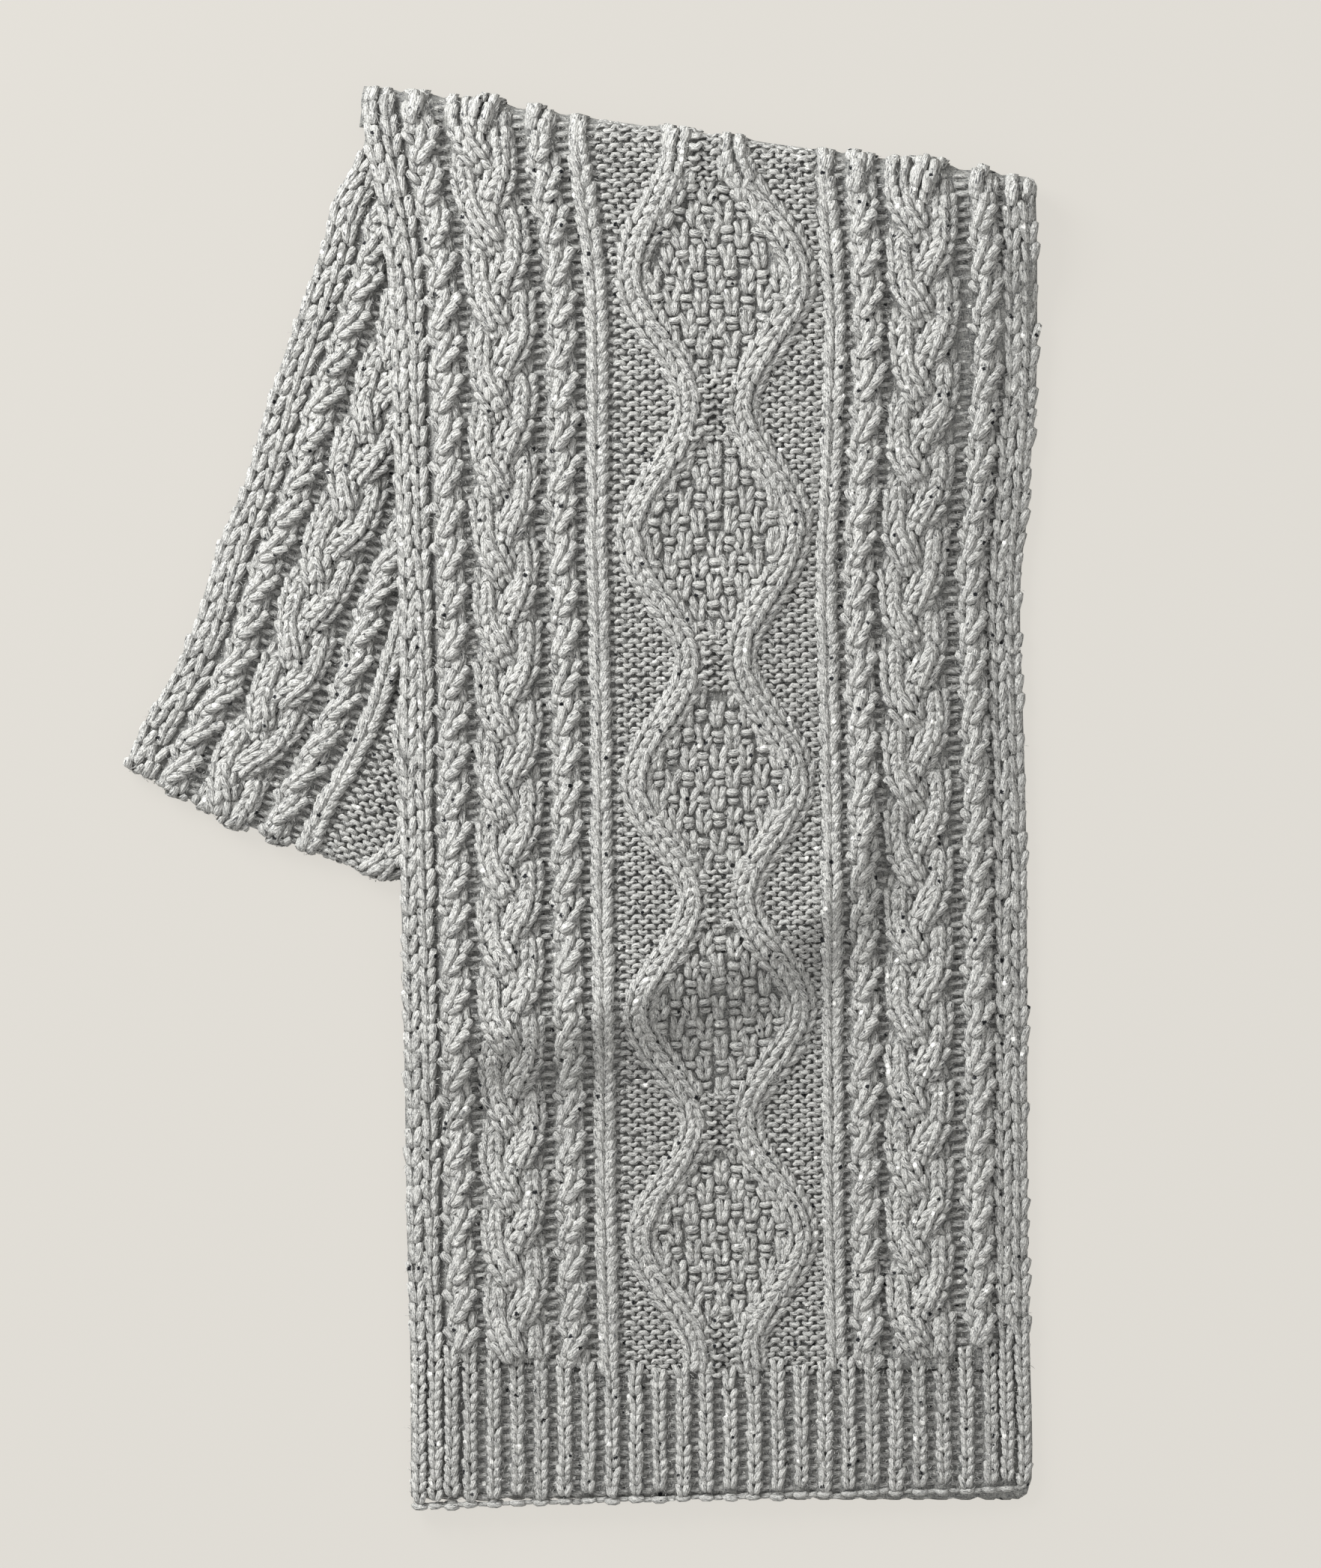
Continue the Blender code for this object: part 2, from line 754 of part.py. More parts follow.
def back_inside_chain(across):
    """A chain on the plain inside: up the back of the end fold's bead, and level from there."""
    level = [
        link
        for link in back_chain(fixed(across), PLAIN_ROWS, lambda angle: 0.0, lambda row: LAYER)
        if link[0] >= 0
    ]
    x, y = back_plan(across, END_BEAD - end_bow(across) + END_FOOT)
    start = level[0][0]
    foot = [(-1.0, (x, y, 0.0)), (start, (x, y, LAYER))]
    return foot + [link for link in level[1:] if link[0] > start + 0.5]


def make_back_panel():
    """The corner of the back stretch that shows, with its end fold."""
    right = BACK_SHOWS - 1.0
    lines = [line for line in pattern_lines() if line.place(BACK_FIRST_ROW) < right - 4]
    face = [back_face_chain(line) for line in lines]
    steps = range(BACK_INSIDE_STEPS + 1)
    wide = (right - 2 * UNDER_EDGE) / BACK_INSIDE_STEPS
    inside = [back_inside_chain(UNDER_EDGE + wide * i) for i in steps]
    rims = [
        back_chain(fixed(across), PLAIN_ROWS, lambda angle: END_BEAD, lambda row: LAYER + WALL / 2)
        for across in (0.0, right)
    ]
    return make_wall("back_panel", face, inside, rims)


def ledge_reach(left, side):
    """How far the lower layers reach out to the left of the front stretch's edge."""
    if ledge_room(*left) < 1e-6:
        return 0.0
    low, high = 0.0, 200.0
    for _ in range(40):
        middle = (low + high) / 2
        if ledge_room(left[0] - side[0] * middle, left[1] - side[1] * middle) > 0:
            low = middle
        else:
            high = middle
    return low


def layered_ring(left, right, floor=0.0, angle=0.0):
    """A section of the hidden layers between two points of the front stretch's edges.

    It goes round from the lower left corner. An angle turns it into the top fold's roll.
    """
    long = math.hypot(right[0] - left[0], right[1] - left[1])
    side = ((right[0] - left[0]) / long, (right[1] - left[1]) / long)
    reach = ledge_reach(left, side) if floor == 0.0 else 0.0

    def at(from_left, z):
        across = from_left * STRIP_WIDTH / long
        out = (FOLD_INNER - GAP - rounded_corner(across, FOLD_CORNER)) * math.sin(angle)
        return (
            left[0] + side[0] * from_left + FOLD_NORMAL[0] * out,
            left[1] + side[1] * from_left + FOLD_NORMAL[1] * out,
            FOLD_AXIS_Z + (z - FOLD_AXIS_Z) * math.cos(angle),
        )

    def top(from_left):
        x, y = left[0] + side[0] * from_left, left[1] + side[1] * from_left
        return bed(x, y) - GAP

    places = [across * long / STRIP_WIDTH for across in inside_places()]
    high_left, high_right = top(places[0]), top(places[-1])
    groove_left = max(floor + 0.12 * (high_left - floor), high_left - LAYER)
    groove_right = max(floor + 0.12 * (high_right - floor), high_right - LAYER)
    ledge = min(LAYER - GAP, 0.8 * groove_left) if floor == 0.0 else 0.2 * floor + 0.8 * groove_left
    out = -reach if reach else SIDE_INSET
    notch = 0.2 if reach else min(1.2, 0.25 * groove_left)
    edge = long - SIDE_INSET
    return (
        [
            at(out + ROUND_OFF, floor),
            at(out, floor + 0.3 * (ledge - floor)),
            at(out, floor + 0.7 * (ledge - floor)),
            at(out + ROUND_OFF, ledge),
            at(SIDE_INSET + notch, ledge),
            at(SIDE_INSET + ROUND_OFF, groove_left),
            at(SIDE_INSET, groove_left + 1.1),
            at(SIDE_INSET, high_left - 1.1),
        ]
        + [at(place, top(place)) for place in places]
        + [
            at(edge, high_right - 1.1),
            at(edge, groove_right + 1.1),
            at(edge - ROUND_OFF, groove_right),
            at(edge, floor + 0.7 * (groove_right - floor)),
            at(edge, floor + 0.3 * (groove_right - floor)),
            at(edge - ROUND_OFF, floor),
        ]
    )


def make_folded_layers():
    """The hidden layers as one solid: flat beneath, layered at its sides, round at the fold."""
    sides = (0.0, STRIP_WIDTH)
    ends = [[station_plan(across, i) for across in sides] for i in range(STATIONS)]
    step = [front_plan(across, inset_share(across, LIP_INSET - 0.6)) for across in sides]
    rings = [layered_ring(left, right) for left, right in ends[:-1]]
    rings.append(layered_ring(*step, LAYER + GAP))
    for degrees in TONGUE_ANGLES:
        rings.append(layered_ring(*ends[-1], LAYER + GAP, math.radians(degrees)))
    mesh = bmesh.new()
    made = {}

    def vertex(point):
        key = tuple(round(part, 3) for part in point)
        if key not in made:
            made[key] = mesh.verts.new([part * MM for part in point])
        return made[key]

    rings = [[vertex(point) for point in ring] for ring in rings]
    for near, far in zip(rings, rings[1:]):
        for i in range(len(near)):
            j = (i + 1) % len(near)
            for corners in ((near[i], far[i], near[j]), (far[i], far[j], near[j])):
                if len(set(corners)) == 3:
                    mesh.faces.new(corners)
    mesh.faces.new(rings[0])
    mesh.faces.new(rings[-1])
    return make_piece("folded_layers", mesh)


def main():
    """Clears the scene and makes each piece."""
    for old in list(bpy.data.objects):
        bpy.data.objects.remove(old, do_unlink=True)
    make_front_panel()
    make_hem("front_ribbed_hem", LAYER, WALL, 1.0)
    make_back_panel()
    make_folded_layers()
    make_hem("under_ribbed_hem", 0.0, LAYER - GAP, 0.0)


main()
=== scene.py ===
"""A folded cable-knit scarf in grey marl wool, dressed stitch by stitch.

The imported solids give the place, size and outline of each stretch of cloth. Each stretch is
replaced by a thin shell of the same form, and its stitches lie on that shell: every leg of a
knit stitch and every purl bump is a plump length of yarn, laid out by the cable pattern.

Places on the cloth are in millimetres across the strip, in rows along it, and in
millimetres above the plain knitted wall. MM turns millimetres into metres.
"""

import json
import logging
import math
from dataclasses import dataclass, fields
from enum import Enum
from typing import NamedTuple, Optional, Protocol, Sequence, Union

import bpy
import numpy as np
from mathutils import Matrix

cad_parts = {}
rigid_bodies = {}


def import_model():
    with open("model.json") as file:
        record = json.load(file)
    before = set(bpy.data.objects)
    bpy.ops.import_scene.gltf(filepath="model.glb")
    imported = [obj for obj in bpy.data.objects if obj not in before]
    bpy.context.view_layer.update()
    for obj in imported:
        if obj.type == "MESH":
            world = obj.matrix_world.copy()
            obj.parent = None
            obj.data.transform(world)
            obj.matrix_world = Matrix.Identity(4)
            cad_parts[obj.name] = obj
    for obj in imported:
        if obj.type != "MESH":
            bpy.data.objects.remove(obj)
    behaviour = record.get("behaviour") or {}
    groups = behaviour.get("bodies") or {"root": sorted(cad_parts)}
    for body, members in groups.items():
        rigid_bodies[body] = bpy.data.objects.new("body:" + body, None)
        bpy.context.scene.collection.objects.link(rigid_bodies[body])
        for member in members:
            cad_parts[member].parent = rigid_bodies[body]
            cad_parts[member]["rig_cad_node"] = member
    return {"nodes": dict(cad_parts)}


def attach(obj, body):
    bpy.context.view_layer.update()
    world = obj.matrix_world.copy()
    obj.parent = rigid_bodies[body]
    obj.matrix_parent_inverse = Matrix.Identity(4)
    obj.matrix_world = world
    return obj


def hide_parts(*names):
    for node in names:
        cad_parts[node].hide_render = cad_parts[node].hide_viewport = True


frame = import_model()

Array = np.ndarray
Socket = bpy.types.NodeSocket
Colour = Union[Socket, tuple[float, float, float, float]]

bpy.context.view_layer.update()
MM = 0.001
CM = 10.0  # the map on the yarn is in centimetres, and patterns are in millimetres
SEED = 20

# The cloth, as in the solids.
STRIP_WIDTH = 250.0
ROW_HEIGHT = 3.96
WALL = 3.0  # the plain knitted wall
LAYER = 5.0  # a layer with its stitches
GAP = 0.3  # between two solids
ABOVE_FLOOR = 0.15  # nothing reaches lower

# The pattern, as in the solids.
PINCH_ROWS = (-24.0, 0.0, 24.0, 46.9, 71.2, 96.0, 121.0, 145.0)  # where its lines come closest
DIAMOND_CENTRE = 126.9
DIAMOND_NARROW, DIAMOND_WIDE = 9.9, 32.7  # from its centre to each line
LINE_HALF = 6.4
FIRST_CROSSING = 5.6  # the row of the lowest crossing
ROPE_ROWS = 4  # from one crossing to the next
PLAIT_ROWS = 8  # from one crossing to the next on the same side
PLAIT_STRAND = 0.47  # half of a strand, as a share of half of the plait
PLAIT_SPREAD = 0.57  # from its middle to that of an outer strand, as such a share

# What each length of yarn carries for its finish.
YARN_MAP = "yarn"
TONE = "tone"

log = logging.getLogger("scarf")


# Tables.


class EdgePoint(NamedTuple):
    """A point on a side edge of the front stretch."""

    y: float
    x: float


class RowPoint(NamedTuple):
    """Where a row of knitting lies along the middle of the front stretch."""

    row: float
    y: float


class DrapePoint(NamedTuple):
    """A point on the line where the front stretch drops off the layers beneath."""

    x: float
    y: float


class Swell(NamedTuple):
    """A soft rise in how the front stretch lies: its middle, its spread each way, its height."""

    x: float
    y: float
    spread_x: float
    spread_y: float
    height: float


class BackPoint(NamedTuple):
    """How far the back stretch's left edge strays sideways, at a distance from its end."""

    along: float
    stray: float


class HemTop(NamedTuple):
    """The row at which the ribbing gives way to the pattern, at a distance across."""

    across: float
    row: float


class BandKind(Enum):
    """The kinds of band that the pattern is made of."""

    SELVEDGE = "selvedge"
    ROPE = "rope"
    PLAIT = "plait"
    RIB = "rib"
    LATTICE = "lattice"


class Band(NamedTuple):
    """One band of the pattern, by its distance from the strip's left edge."""

    kind: BandKind
    start: float
    end: float

    @property
    def middle(self) -> float:
        """The distance of its middle from the strip's left edge."""
        return (self.start + self.end) / 2

    @property
    def half(self) -> float:
        """Half of its width."""
        return (self.end - self.start) / 2


def listed(kind: type, rows: Sequence[tuple]) -> tuple:
    """A table whose rows are all of one kind."""
    return tuple(kind(*row) for row in rows)


LEFT_EDGE = listed(EdgePoint, (
    (-284.0, -68.2), (-222.0, -68.6), (-170.0, -70.0), (-91.0, -71.0), (-28.0, -72.0),
    (66.0, -72.5), (113.0, -74.0), (160.0, -75.5), (192.0, -76.5), (223.0, -79.0),
    (257.0, -85.5), (284.0, -89.0),
))
RIGHT_EDGE = listed(EdgePoint, (
    (-284.0, 180.8), (-264.0, 181.4), (-229.0, 180.5), (-193.0, 179.5), (-28.0, 179.0),
    (35.0, 177.5), (66.0, 176.5), (91.0, 177.0), (108.0, 179.0), (138.0, 181.0),
    (168.0, 183.0), (208.0, 183.0), (246.0, 182.0),
))
ROW_LINES = listed(RowPoint, (
    (-14.5, -283.0), (5.6, -203.6), (29.6, -110.7), (53.6, -17.4), (77.6, 78.2),
    (101.6, 177.6), (117.6, 244.1), (133.6, 308.0),
))
DRAPE_LINE = listed(DrapePoint, (
    (-78.0, -119.0), (-48.7, -115.5), (-24.2, -110.0), (0.4, -104.5), (18.8, -98.5),
    (37.2, -90.5), (55.6, -83.0), (74.0, -76.0), (89.3, -69.5), (101.5, -61.0),
    (110.7, -51.0), (118.1, -40.0), (124.0, -28.0), (140.0, -5.0), (160.0, 20.0),
))
SWELLS = listed(Swell, (
    (147.0, 5.0, 16.0, 62.0, 3.0), (112.0, -214.0, 55.0, 16.0, 2.4),
    (-30.0, -190.0, 22.0, 34.0, 1.6), (30.0, 215.0, 40.0, 26.0, -1.5),
    (-45.0, 120.0, 16.0, 60.0, 1.4),
))
BACK_EDGE = listed(BackPoint, (
    (0.0, 0.0), (18.0, 0.5), (43.0, 3.5), (64.0, 3.6), (97.0, 0.1), (123.0, 0.1),
    (156.0, -4.0), (186.0, -6.0), (225.0, -8.7), (240.0, -11.5), (268.0, -8.6), (300.0, -8.0),
))
HEM_TOPS = listed(HemTop, (
    (0.0, 1.0), (14.0, 0.6), (30.0, 0.9), (56.0, -1.0), (76.0, -2.2), (126.0, -2.45),
    (170.0, -2.4), (192.0, -2.1), (220.0, -1.0), (250.0, -0.6),
))
BANDS = (
    Band(BandKind.SELVEDGE, 0.0, 13.2),
    Band(BandKind.ROPE, 14.1, 27.9),
    Band(BandKind.PLAIT, 30.3, 56.4),
    Band(BandKind.ROPE, 60.0, 72.6),
    Band(BandKind.RIB, 76.2, 84.3),
    Band(BandKind.LATTICE, 86.0, 166.0),
    Band(BandKind.RIB, 167.4, 176.1),
    Band(BandKind.ROPE, 178.5, 190.8),
    Band(BandKind.PLAIT, 192.9, 219.9),
    Band(BandKind.ROPE, 224.7, 235.8),
    Band(BandKind.SELVEDGE, 237.3, 250.0),
)


# Small sums.


def smooth(low: float, high: float, at: Array) -> Array:
    """0 at low, 1 at high, with a soft start and end."""
    t = np.clip((at - low) / (high - low), 0.0, 1.0)
    return t * t * (3 - 2 * t)


def dome(t: Array) -> Array:
    """A round cross-section: 1 in the middle, 0 at -1 and 1."""
    return np.sqrt(np.clip(1 - np.square(t), 0.0, None))


def hump(t: Array) -> Array:
    """A soft hump: 1 in the middle, 0 from -1 and 1 outwards."""
    return np.cos(np.clip(t, -1.0, 1.0) * np.pi / 2) ** 2


def curve(table: Sequence[tuple], at: Array) -> Array:
    """A smooth value from a table of (place, value) rows, held level past its ends.

    Args:
        table: Rows of a place and its value, with growing places.
        at: Where the value is wanted.

    Returns:
        The value at each place.
    """
    xs, ys = np.array(table, float).T
    slopes = np.empty_like(ys)
    slopes[1:-1] = (ys[2:] - ys[:-2]) / (xs[2:] - xs[:-2])
    slopes[0] = (ys[1] - ys[0]) / (xs[1] - xs[0])
    slopes[-1] = (ys[-1] - ys[-2]) / (xs[-1] - xs[-2])
    i = np.clip(np.searchsorted(xs, at) - 1, 0, len(xs) - 2)
    wide = xs[i + 1] - xs[i]
    t = np.clip((at - xs[i]) / wide, 0.0, 1.0)
    near, far = (1 + 2 * t) * (1 - t) ** 2, t * t * (3 - 2 * t)
    turns = t * (1 - t) ** 2 * wide * slopes[i] + t * t * (t - 1) * wide * slopes[i + 1]
    return near * ys[i] + far * ys[i + 1] + turns


def straight(xs: Sequence[float], ys: Sequence[float], at: Array) -> Array:
    """A value read straight between points, and carried on straight past both ends."""
    xs, ys = np.array(xs, float), np.array(ys, float)
    i = np.clip(np.searchsorted(xs, at) - 1, 0, len(xs) - 2)
    return ys[i] + (ys[i + 1] - ys[i]) * (at - xs[i]) / (xs[i + 1] - xs[i])


def rounded_corner(across: Array, radius: float) -> Array:
    """How far a corner at the strip's right side cuts the outline back."""
    beyond = np.clip(across - (STRIP_WIDTH - radius), 0.0, radius)
    return radius - np.sqrt(radius**2 - beyond**2)


# Where the cloth lies.


class Lay(Protocol):
    """A place on the cloth made a point in space."""

    def place(self, across: Array, row: Array, up: Array) -> Array:
        """Points in metres, one a row, from distances across, rows and heights."""


@dataclass(frozen=True)
class BackLay:
    """Where the back stretch lies: it starts at its end fold and runs under the front one."""

    tip_x: float = -183.0
    tip_y: float = 10.7
    turn: float = math.radians(23.0)
    shows: float = 119.0
    bead: float = LAYER
    bow: float = 3.2
    bow_span: float = 120.0
    first_row: float = -4.4
    roll_radius: float = 4.2
    bead_angle: float = 1.4  # how far round the roll the wall has thickened to a layer
    top: float = 268.0
    tuck: float = 1.0  # how far it runs on under the front stretch's edge
    search_past: float = 20.0
    halvings: int = 30

    @property
    def side(self) -> Array:
        """The way across it, seen from above."""
        return np.array((math.cos(self.turn), -math.sin(self.turn)))

    @property
    def ahead(self) -> Array:
        """The way along it, seen from above."""
        return np.array((math.sin(self.turn), math.cos(self.turn)))

    def plan(self, across: Array, along: Array) -> tuple[Array, Array]:
        """(x, y) of a point, along from the end fold."""
        aside = across + curve(BACK_EDGE, along)
        return (
            self.tip_x + aside * self.side[0] + along * self.ahead[0],
            self.tip_y + aside * self.side[1] + along * self.ahead[1],
        )

    def start(self, across: Array) -> Array:
        """How far from the tip the end fold's roll gives way to level cloth."""
        share = np.clip(across / self.bow_span, 0.0, 1.0)
        return self.bead - self.bow * np.sin(np.pi * share)

    def cut(self, across: Array) -> Array:
        """How far along the front stretch's edge covers a line at this distance across."""
        low, high = np.zeros_like(across), np.full_like(across, self.top + self.search_past)
        for _ in range(self.halvings):
            middle = (low + high) / 2
            x, y = self.plan(across, middle)
            open_air = x < curve(LEFT_EDGE, y) + self.tuck
            low, high = np.where(open_air, middle, low), np.where(open_air, high, middle)
        return np.maximum(low, self.start(across) + 1)

    def place(self, across: Array, row: Array, up: Array) -> Array:
        """Points in metres: rows count as in the pattern, from first_row at the tip."""
        along = (row - self.first_row) * ROW_HEIGHT
        start = self.start(across)
        before = np.clip(start - along, 0.0, None)
        angle = np.minimum(before / self.roll_radius, np.pi)
        x, y = self.plan(across, np.maximum(along, start))
        radius = WALL + (self.bead - WALL) * smooth(0.0, self.bead_angle, angle) + up
        out = radius * np.sin(angle)
        z = LAYER + radius * np.cos(angle)
        x, y = x - self.ahead[0] * out, y - self.ahead[1] * out
        return np.stack([x, y, np.maximum(z, ABOVE_FLOOR)], -1) * MM


@dataclass(frozen=True)
class FrontLay:
    """Where the front stretch lies: up from its hem, and round the top fold."""

    back: BackLay = BackLay()
    hem_y: float = -284.6
    seam_share: float = 0.099
    fold_left_y: float = 284.8
    fold_right_y: float = 247.4
    row_tilt: float = 3.6
    hem_corner: float = 7.0
    hem_corner_fade: float = 14.0
    fold_corner: float = 4.5
    fold_inset: float = 9.6
    fold_inner: float = LAYER
    fold_lip: float = 8.0
    fold_swell_angle: float = 0.5  # how far round the fold the wall starts to thicken
    fold_slope: float = 56.0  # how far from the fold the stretch has come down to one layer
    climb_past_end: tuple[float, float] = (-70.0, 8.0)  # where it climbs onto the back stretch
    climb_past_side: tuple[float, float] = (-60.0, 50.0)
    crease_rise: float = 11.5
    crease_half: float = 17.0
    crease_fade: float = 36.0
    crease_left: tuple[float, float] = (-84.0, -40.0)  # where the ridge rises at one end
    crease_right: tuple[float, float] = (98.0, 150.0)  # and dies away at the other
    left_edge: tuple[float, float] = (14.0, 2.0)  # how far in it curls, and how far down
    right_edge: tuple[float, float] = (32.0, 4.2)

    @property
    def roll_radius(self) -> float:
        """The radius of the middle of the wall, round the top fold."""
        return self.fold_inner + WALL / 2

    def ends(self, across: Array) -> tuple[float, Array]:
        """(y at the hem, y at the top fold) of a line along the stretch."""
        share = across / STRIP_WIDTH
        return self.hem_y, self.fold_left_y + (self.fold_right_y - self.fold_left_y) * share

    def plan(self, across: Array, share: Array) -> tuple[Array, Array]:
        """(x, y) of a point: share is 0 at the hem and 1 at the top fold."""
        u = across / STRIP_WIDTH
        y_left = self.hem_y + (self.fold_left_y - self.hem_y) * share
        y_right = self.hem_y + (self.fold_right_y - self.hem_y) * share
        x_left, x_right = curve(LEFT_EDGE, y_left), curve(RIGHT_EDGE, y_right)
        return x_left + (x_right - x_left) * u, y_left + (y_right - y_left) * u

    def share_at(self, across: Array, row: Array) -> Array:
        """How far along the stretch a row lies, on the line at this distance across."""
        low, high = self.ends(across)
        y = straight(*zip(*ROW_LINES), row) - self.row_tilt * (1 - 2 * across / STRIP_WIDTH)
        return (y - low) / (high - low)

    def row_at(self, across: Array, share: Array) -> Array:
        """The row at a point of the stretch."""
        low, high = self.ends(across)
        y = low + (high - low) * share + self.row_tilt * (1 - 2 * across / STRIP_WIDTH)
        rows, ys = zip(*ROW_LINES)
        return straight(ys, rows, y)

    def fold_row(self, across: Array) -> Array:
        """The row at which the roll of the top fold starts."""
        low, high = self.ends(across)
        return self.row_at(across, 1 - self.fold_inset / (high - low))

    def seam_row(self, across: Array) -> Array:
        """The row at which the ribbed hem's solid ends."""
        return self.row_at(across, np.full_like(across, self.seam_share))

    def fold_normal(self) -> tuple[float, float]:
        """The way that the top fold faces, seen from above."""
        wide = RIGHT_EDGE[-1].x - LEFT_EDGE[-1].x
        drop = self.fold_left_y - self.fold_right_y
        long = math.hypot(wide, drop)
        return drop / long, wide / long

    def inside_back(self, x: Array, y: Array) -> tuple[Array, Array]:
        """How far a point lies inside the back stretch's outline, past its end and its side."""
        back = self.back
        from_end = (x - back.tip_x) * back.ahead[0] + (y - back.tip_y) * back.ahead[1]
        corner_x = back.tip_x + STRIP_WIDTH * back.side[0]
        corner_y = back.tip_y + STRIP_WIDTH * back.side[1]
        top_x, top_y = RIGHT_EDGE[-1].x, self.fold_right_y
        long = math.hypot(top_x - corner_x, top_y - corner_y)
        side = ((top_x - corner_x) / long, (top_y - corner_y) / long)
        from_side = (y - corner_y) * side[0] - (x - corner_x) * side[1]
        return from_end, from_side

    def bed(self, x: Array, y: Array) -> Array:
        """Height of what it lies on: one layer, or three over the back stretch."""
        normal = self.fold_normal()
        from_fold = (LEFT_EDGE[-1].x - x) * normal[0] + (self.fold_left_y - y) * normal[1]
        from_end, from_side = self.inside_back(x, y)
        over_back = smooth(*self.climb_past_end, from_end) * smooth(*self.climb_past_side, from_side)
        by_fold = 1 - smooth(self.fold_inset + self.fold_lip + 2, self.fold_slope, from_fold)
        return LAYER + 2 * LAYER * (1 - (1 - over_back) * (1 - by_fold))

    def crease(self, x: Array, y: Array) -> Array:
        """Height of the soft ridge where the stretch drops off the layers beneath."""
        xs, ys = np.array(DRAPE_LINE, float).T
        slope = np.interp(x, xs, np.gradient(ys, xs))
        past = (y - np.interp(x, xs, ys)) / np.hypot(1, slope)
        drop = smooth(-self.crease_half, self.crease_half, past)
        fade = np.exp(-np.clip(past - self.crease_half, 0.0, None) / self.crease_fade)
        ends = smooth(*self.crease_left, x) * (1 - smooth(*self.crease_right, x))
        return self.crease_rise * drop * fade * ends

    def edge_roll(self, across: Array) -> Array:
        """How far the side edges curl down."""
        sides = ((across, self.left_edge), (STRIP_WIDTH - across, self.right_edge))
        return sum(drop * np.clip(1 - inside / wide, 0.0, 1.1) ** 2 for inside, (wide, drop) in sides)

    def swell(self, x: Array, y: Array) -> Array:
        """Height of the soft rises all over it."""
        return sum(
            s.height * np.exp(-(((x - s.x) / s.spread_x) ** 2) - ((y - s.y) / s.spread_y) ** 2)
            for s in SWELLS
        )

    def place(self, across: Array, row: Array, up: Array) -> Array:
        """Points in metres, on the flat, round the top fold and on the lip beneath it."""
        fold_row = self.fold_row(across)
        past = np.clip((row - fold_row) * ROW_HEIGHT, 0.0, None)
        angle = np.minimum(past / self.roll_radius, np.pi)
        lip = np.clip(past - np.pi * self.roll_radius, 0.0, self.fold_lip)
        x, y = self.plan(across, self.share_at(across, np.minimum(row, fold_row)))
        by_hem = 1 - smooth(0.0, self.hem_corner_fade, y - self.hem_y)
        y = y + rounded_corner(across, self.hem_corner) * by_hem
        swell = (LAYER - WALL) * smooth(self.fold_swell_angle, math.pi, angle)
        radius = self.fold_inner + WALL + swell + up
        out = (radius - rounded_corner(across, self.fold_corner)) * np.sin(angle) - lip
        rises = self.crease(x, y) + self.swell(x, y) - self.edge_roll(across)
        flat = self.bed(x, y) + rises + WALL + up
        z = np.where(past > 0, 2 * LAYER + radius * np.cos(angle), flat)
        normal = self.fold_normal()
        x, y = x + normal[0] * out, y + normal[1] * out
        return np.stack([x, y, np.maximum(z, ABOVE_FLOOR)], -1) * MM


@dataclass(frozen=True)
class SideLay:
    """The rounded edge of the layer just beneath the front stretch.

    Across is up or down its edge, and up is outwards.
    """

    front: FrontLay
    side: int
    inset: float = 1.9

    def place(self, across: Array, row: Array, up: Array) -> Array:
        """Points in metres on the edge."""
        at = np.full_like(across, self.inset if self.side < 0 else STRIP_WIDTH - self.inset)
        x, y = self.front.plan(at, self.front.share_at(at, row))
        z = self.front.bed(x, y) - GAP - LAYER / 2 - self.side * across
        x = x + self.side * up
        return np.stack([x, y, np.maximum(z, ABOVE_FLOOR)], -1) * MM


@dataclass(frozen=True)
class BackSideLay:
    """The rounded edge of the layer beneath the back stretch. Up is outwards."""

    back: BackLay
    inset: float = 1.6

    def place(self, across: Array, row: Array, up: Array) -> Array:
        """Points in metres on the edge."""
        along = (row - self.back.first_row) * ROW_HEIGHT
        x, y = self.back.plan(self.inset - up, along)
        z = LAYER / 2 + across
        return np.stack([x, y, np.maximum(z, ABOVE_FLOOR)], -1) * MM


@dataclass(frozen=True)
class HemEndLay:
    """The cast-on edge of a hem, seen end on. Rows run up its thickness, and up is outwards."""

    front: FrontLay
    middle_z: float

    def place(self, across: Array, row: Array, up: Array) -> Array:
        """Points in metres on the edge."""
        x, y = self.front.plan(across, np.zeros_like(across))
        y = y + rounded_corner(across, self.front.hem_corner) - up
        z = self.middle_z + row * ROW_HEIGHT
        return np.stack([x, y, np.maximum(z, ABOVE_FLOOR)], -1) * MM


# The pattern.


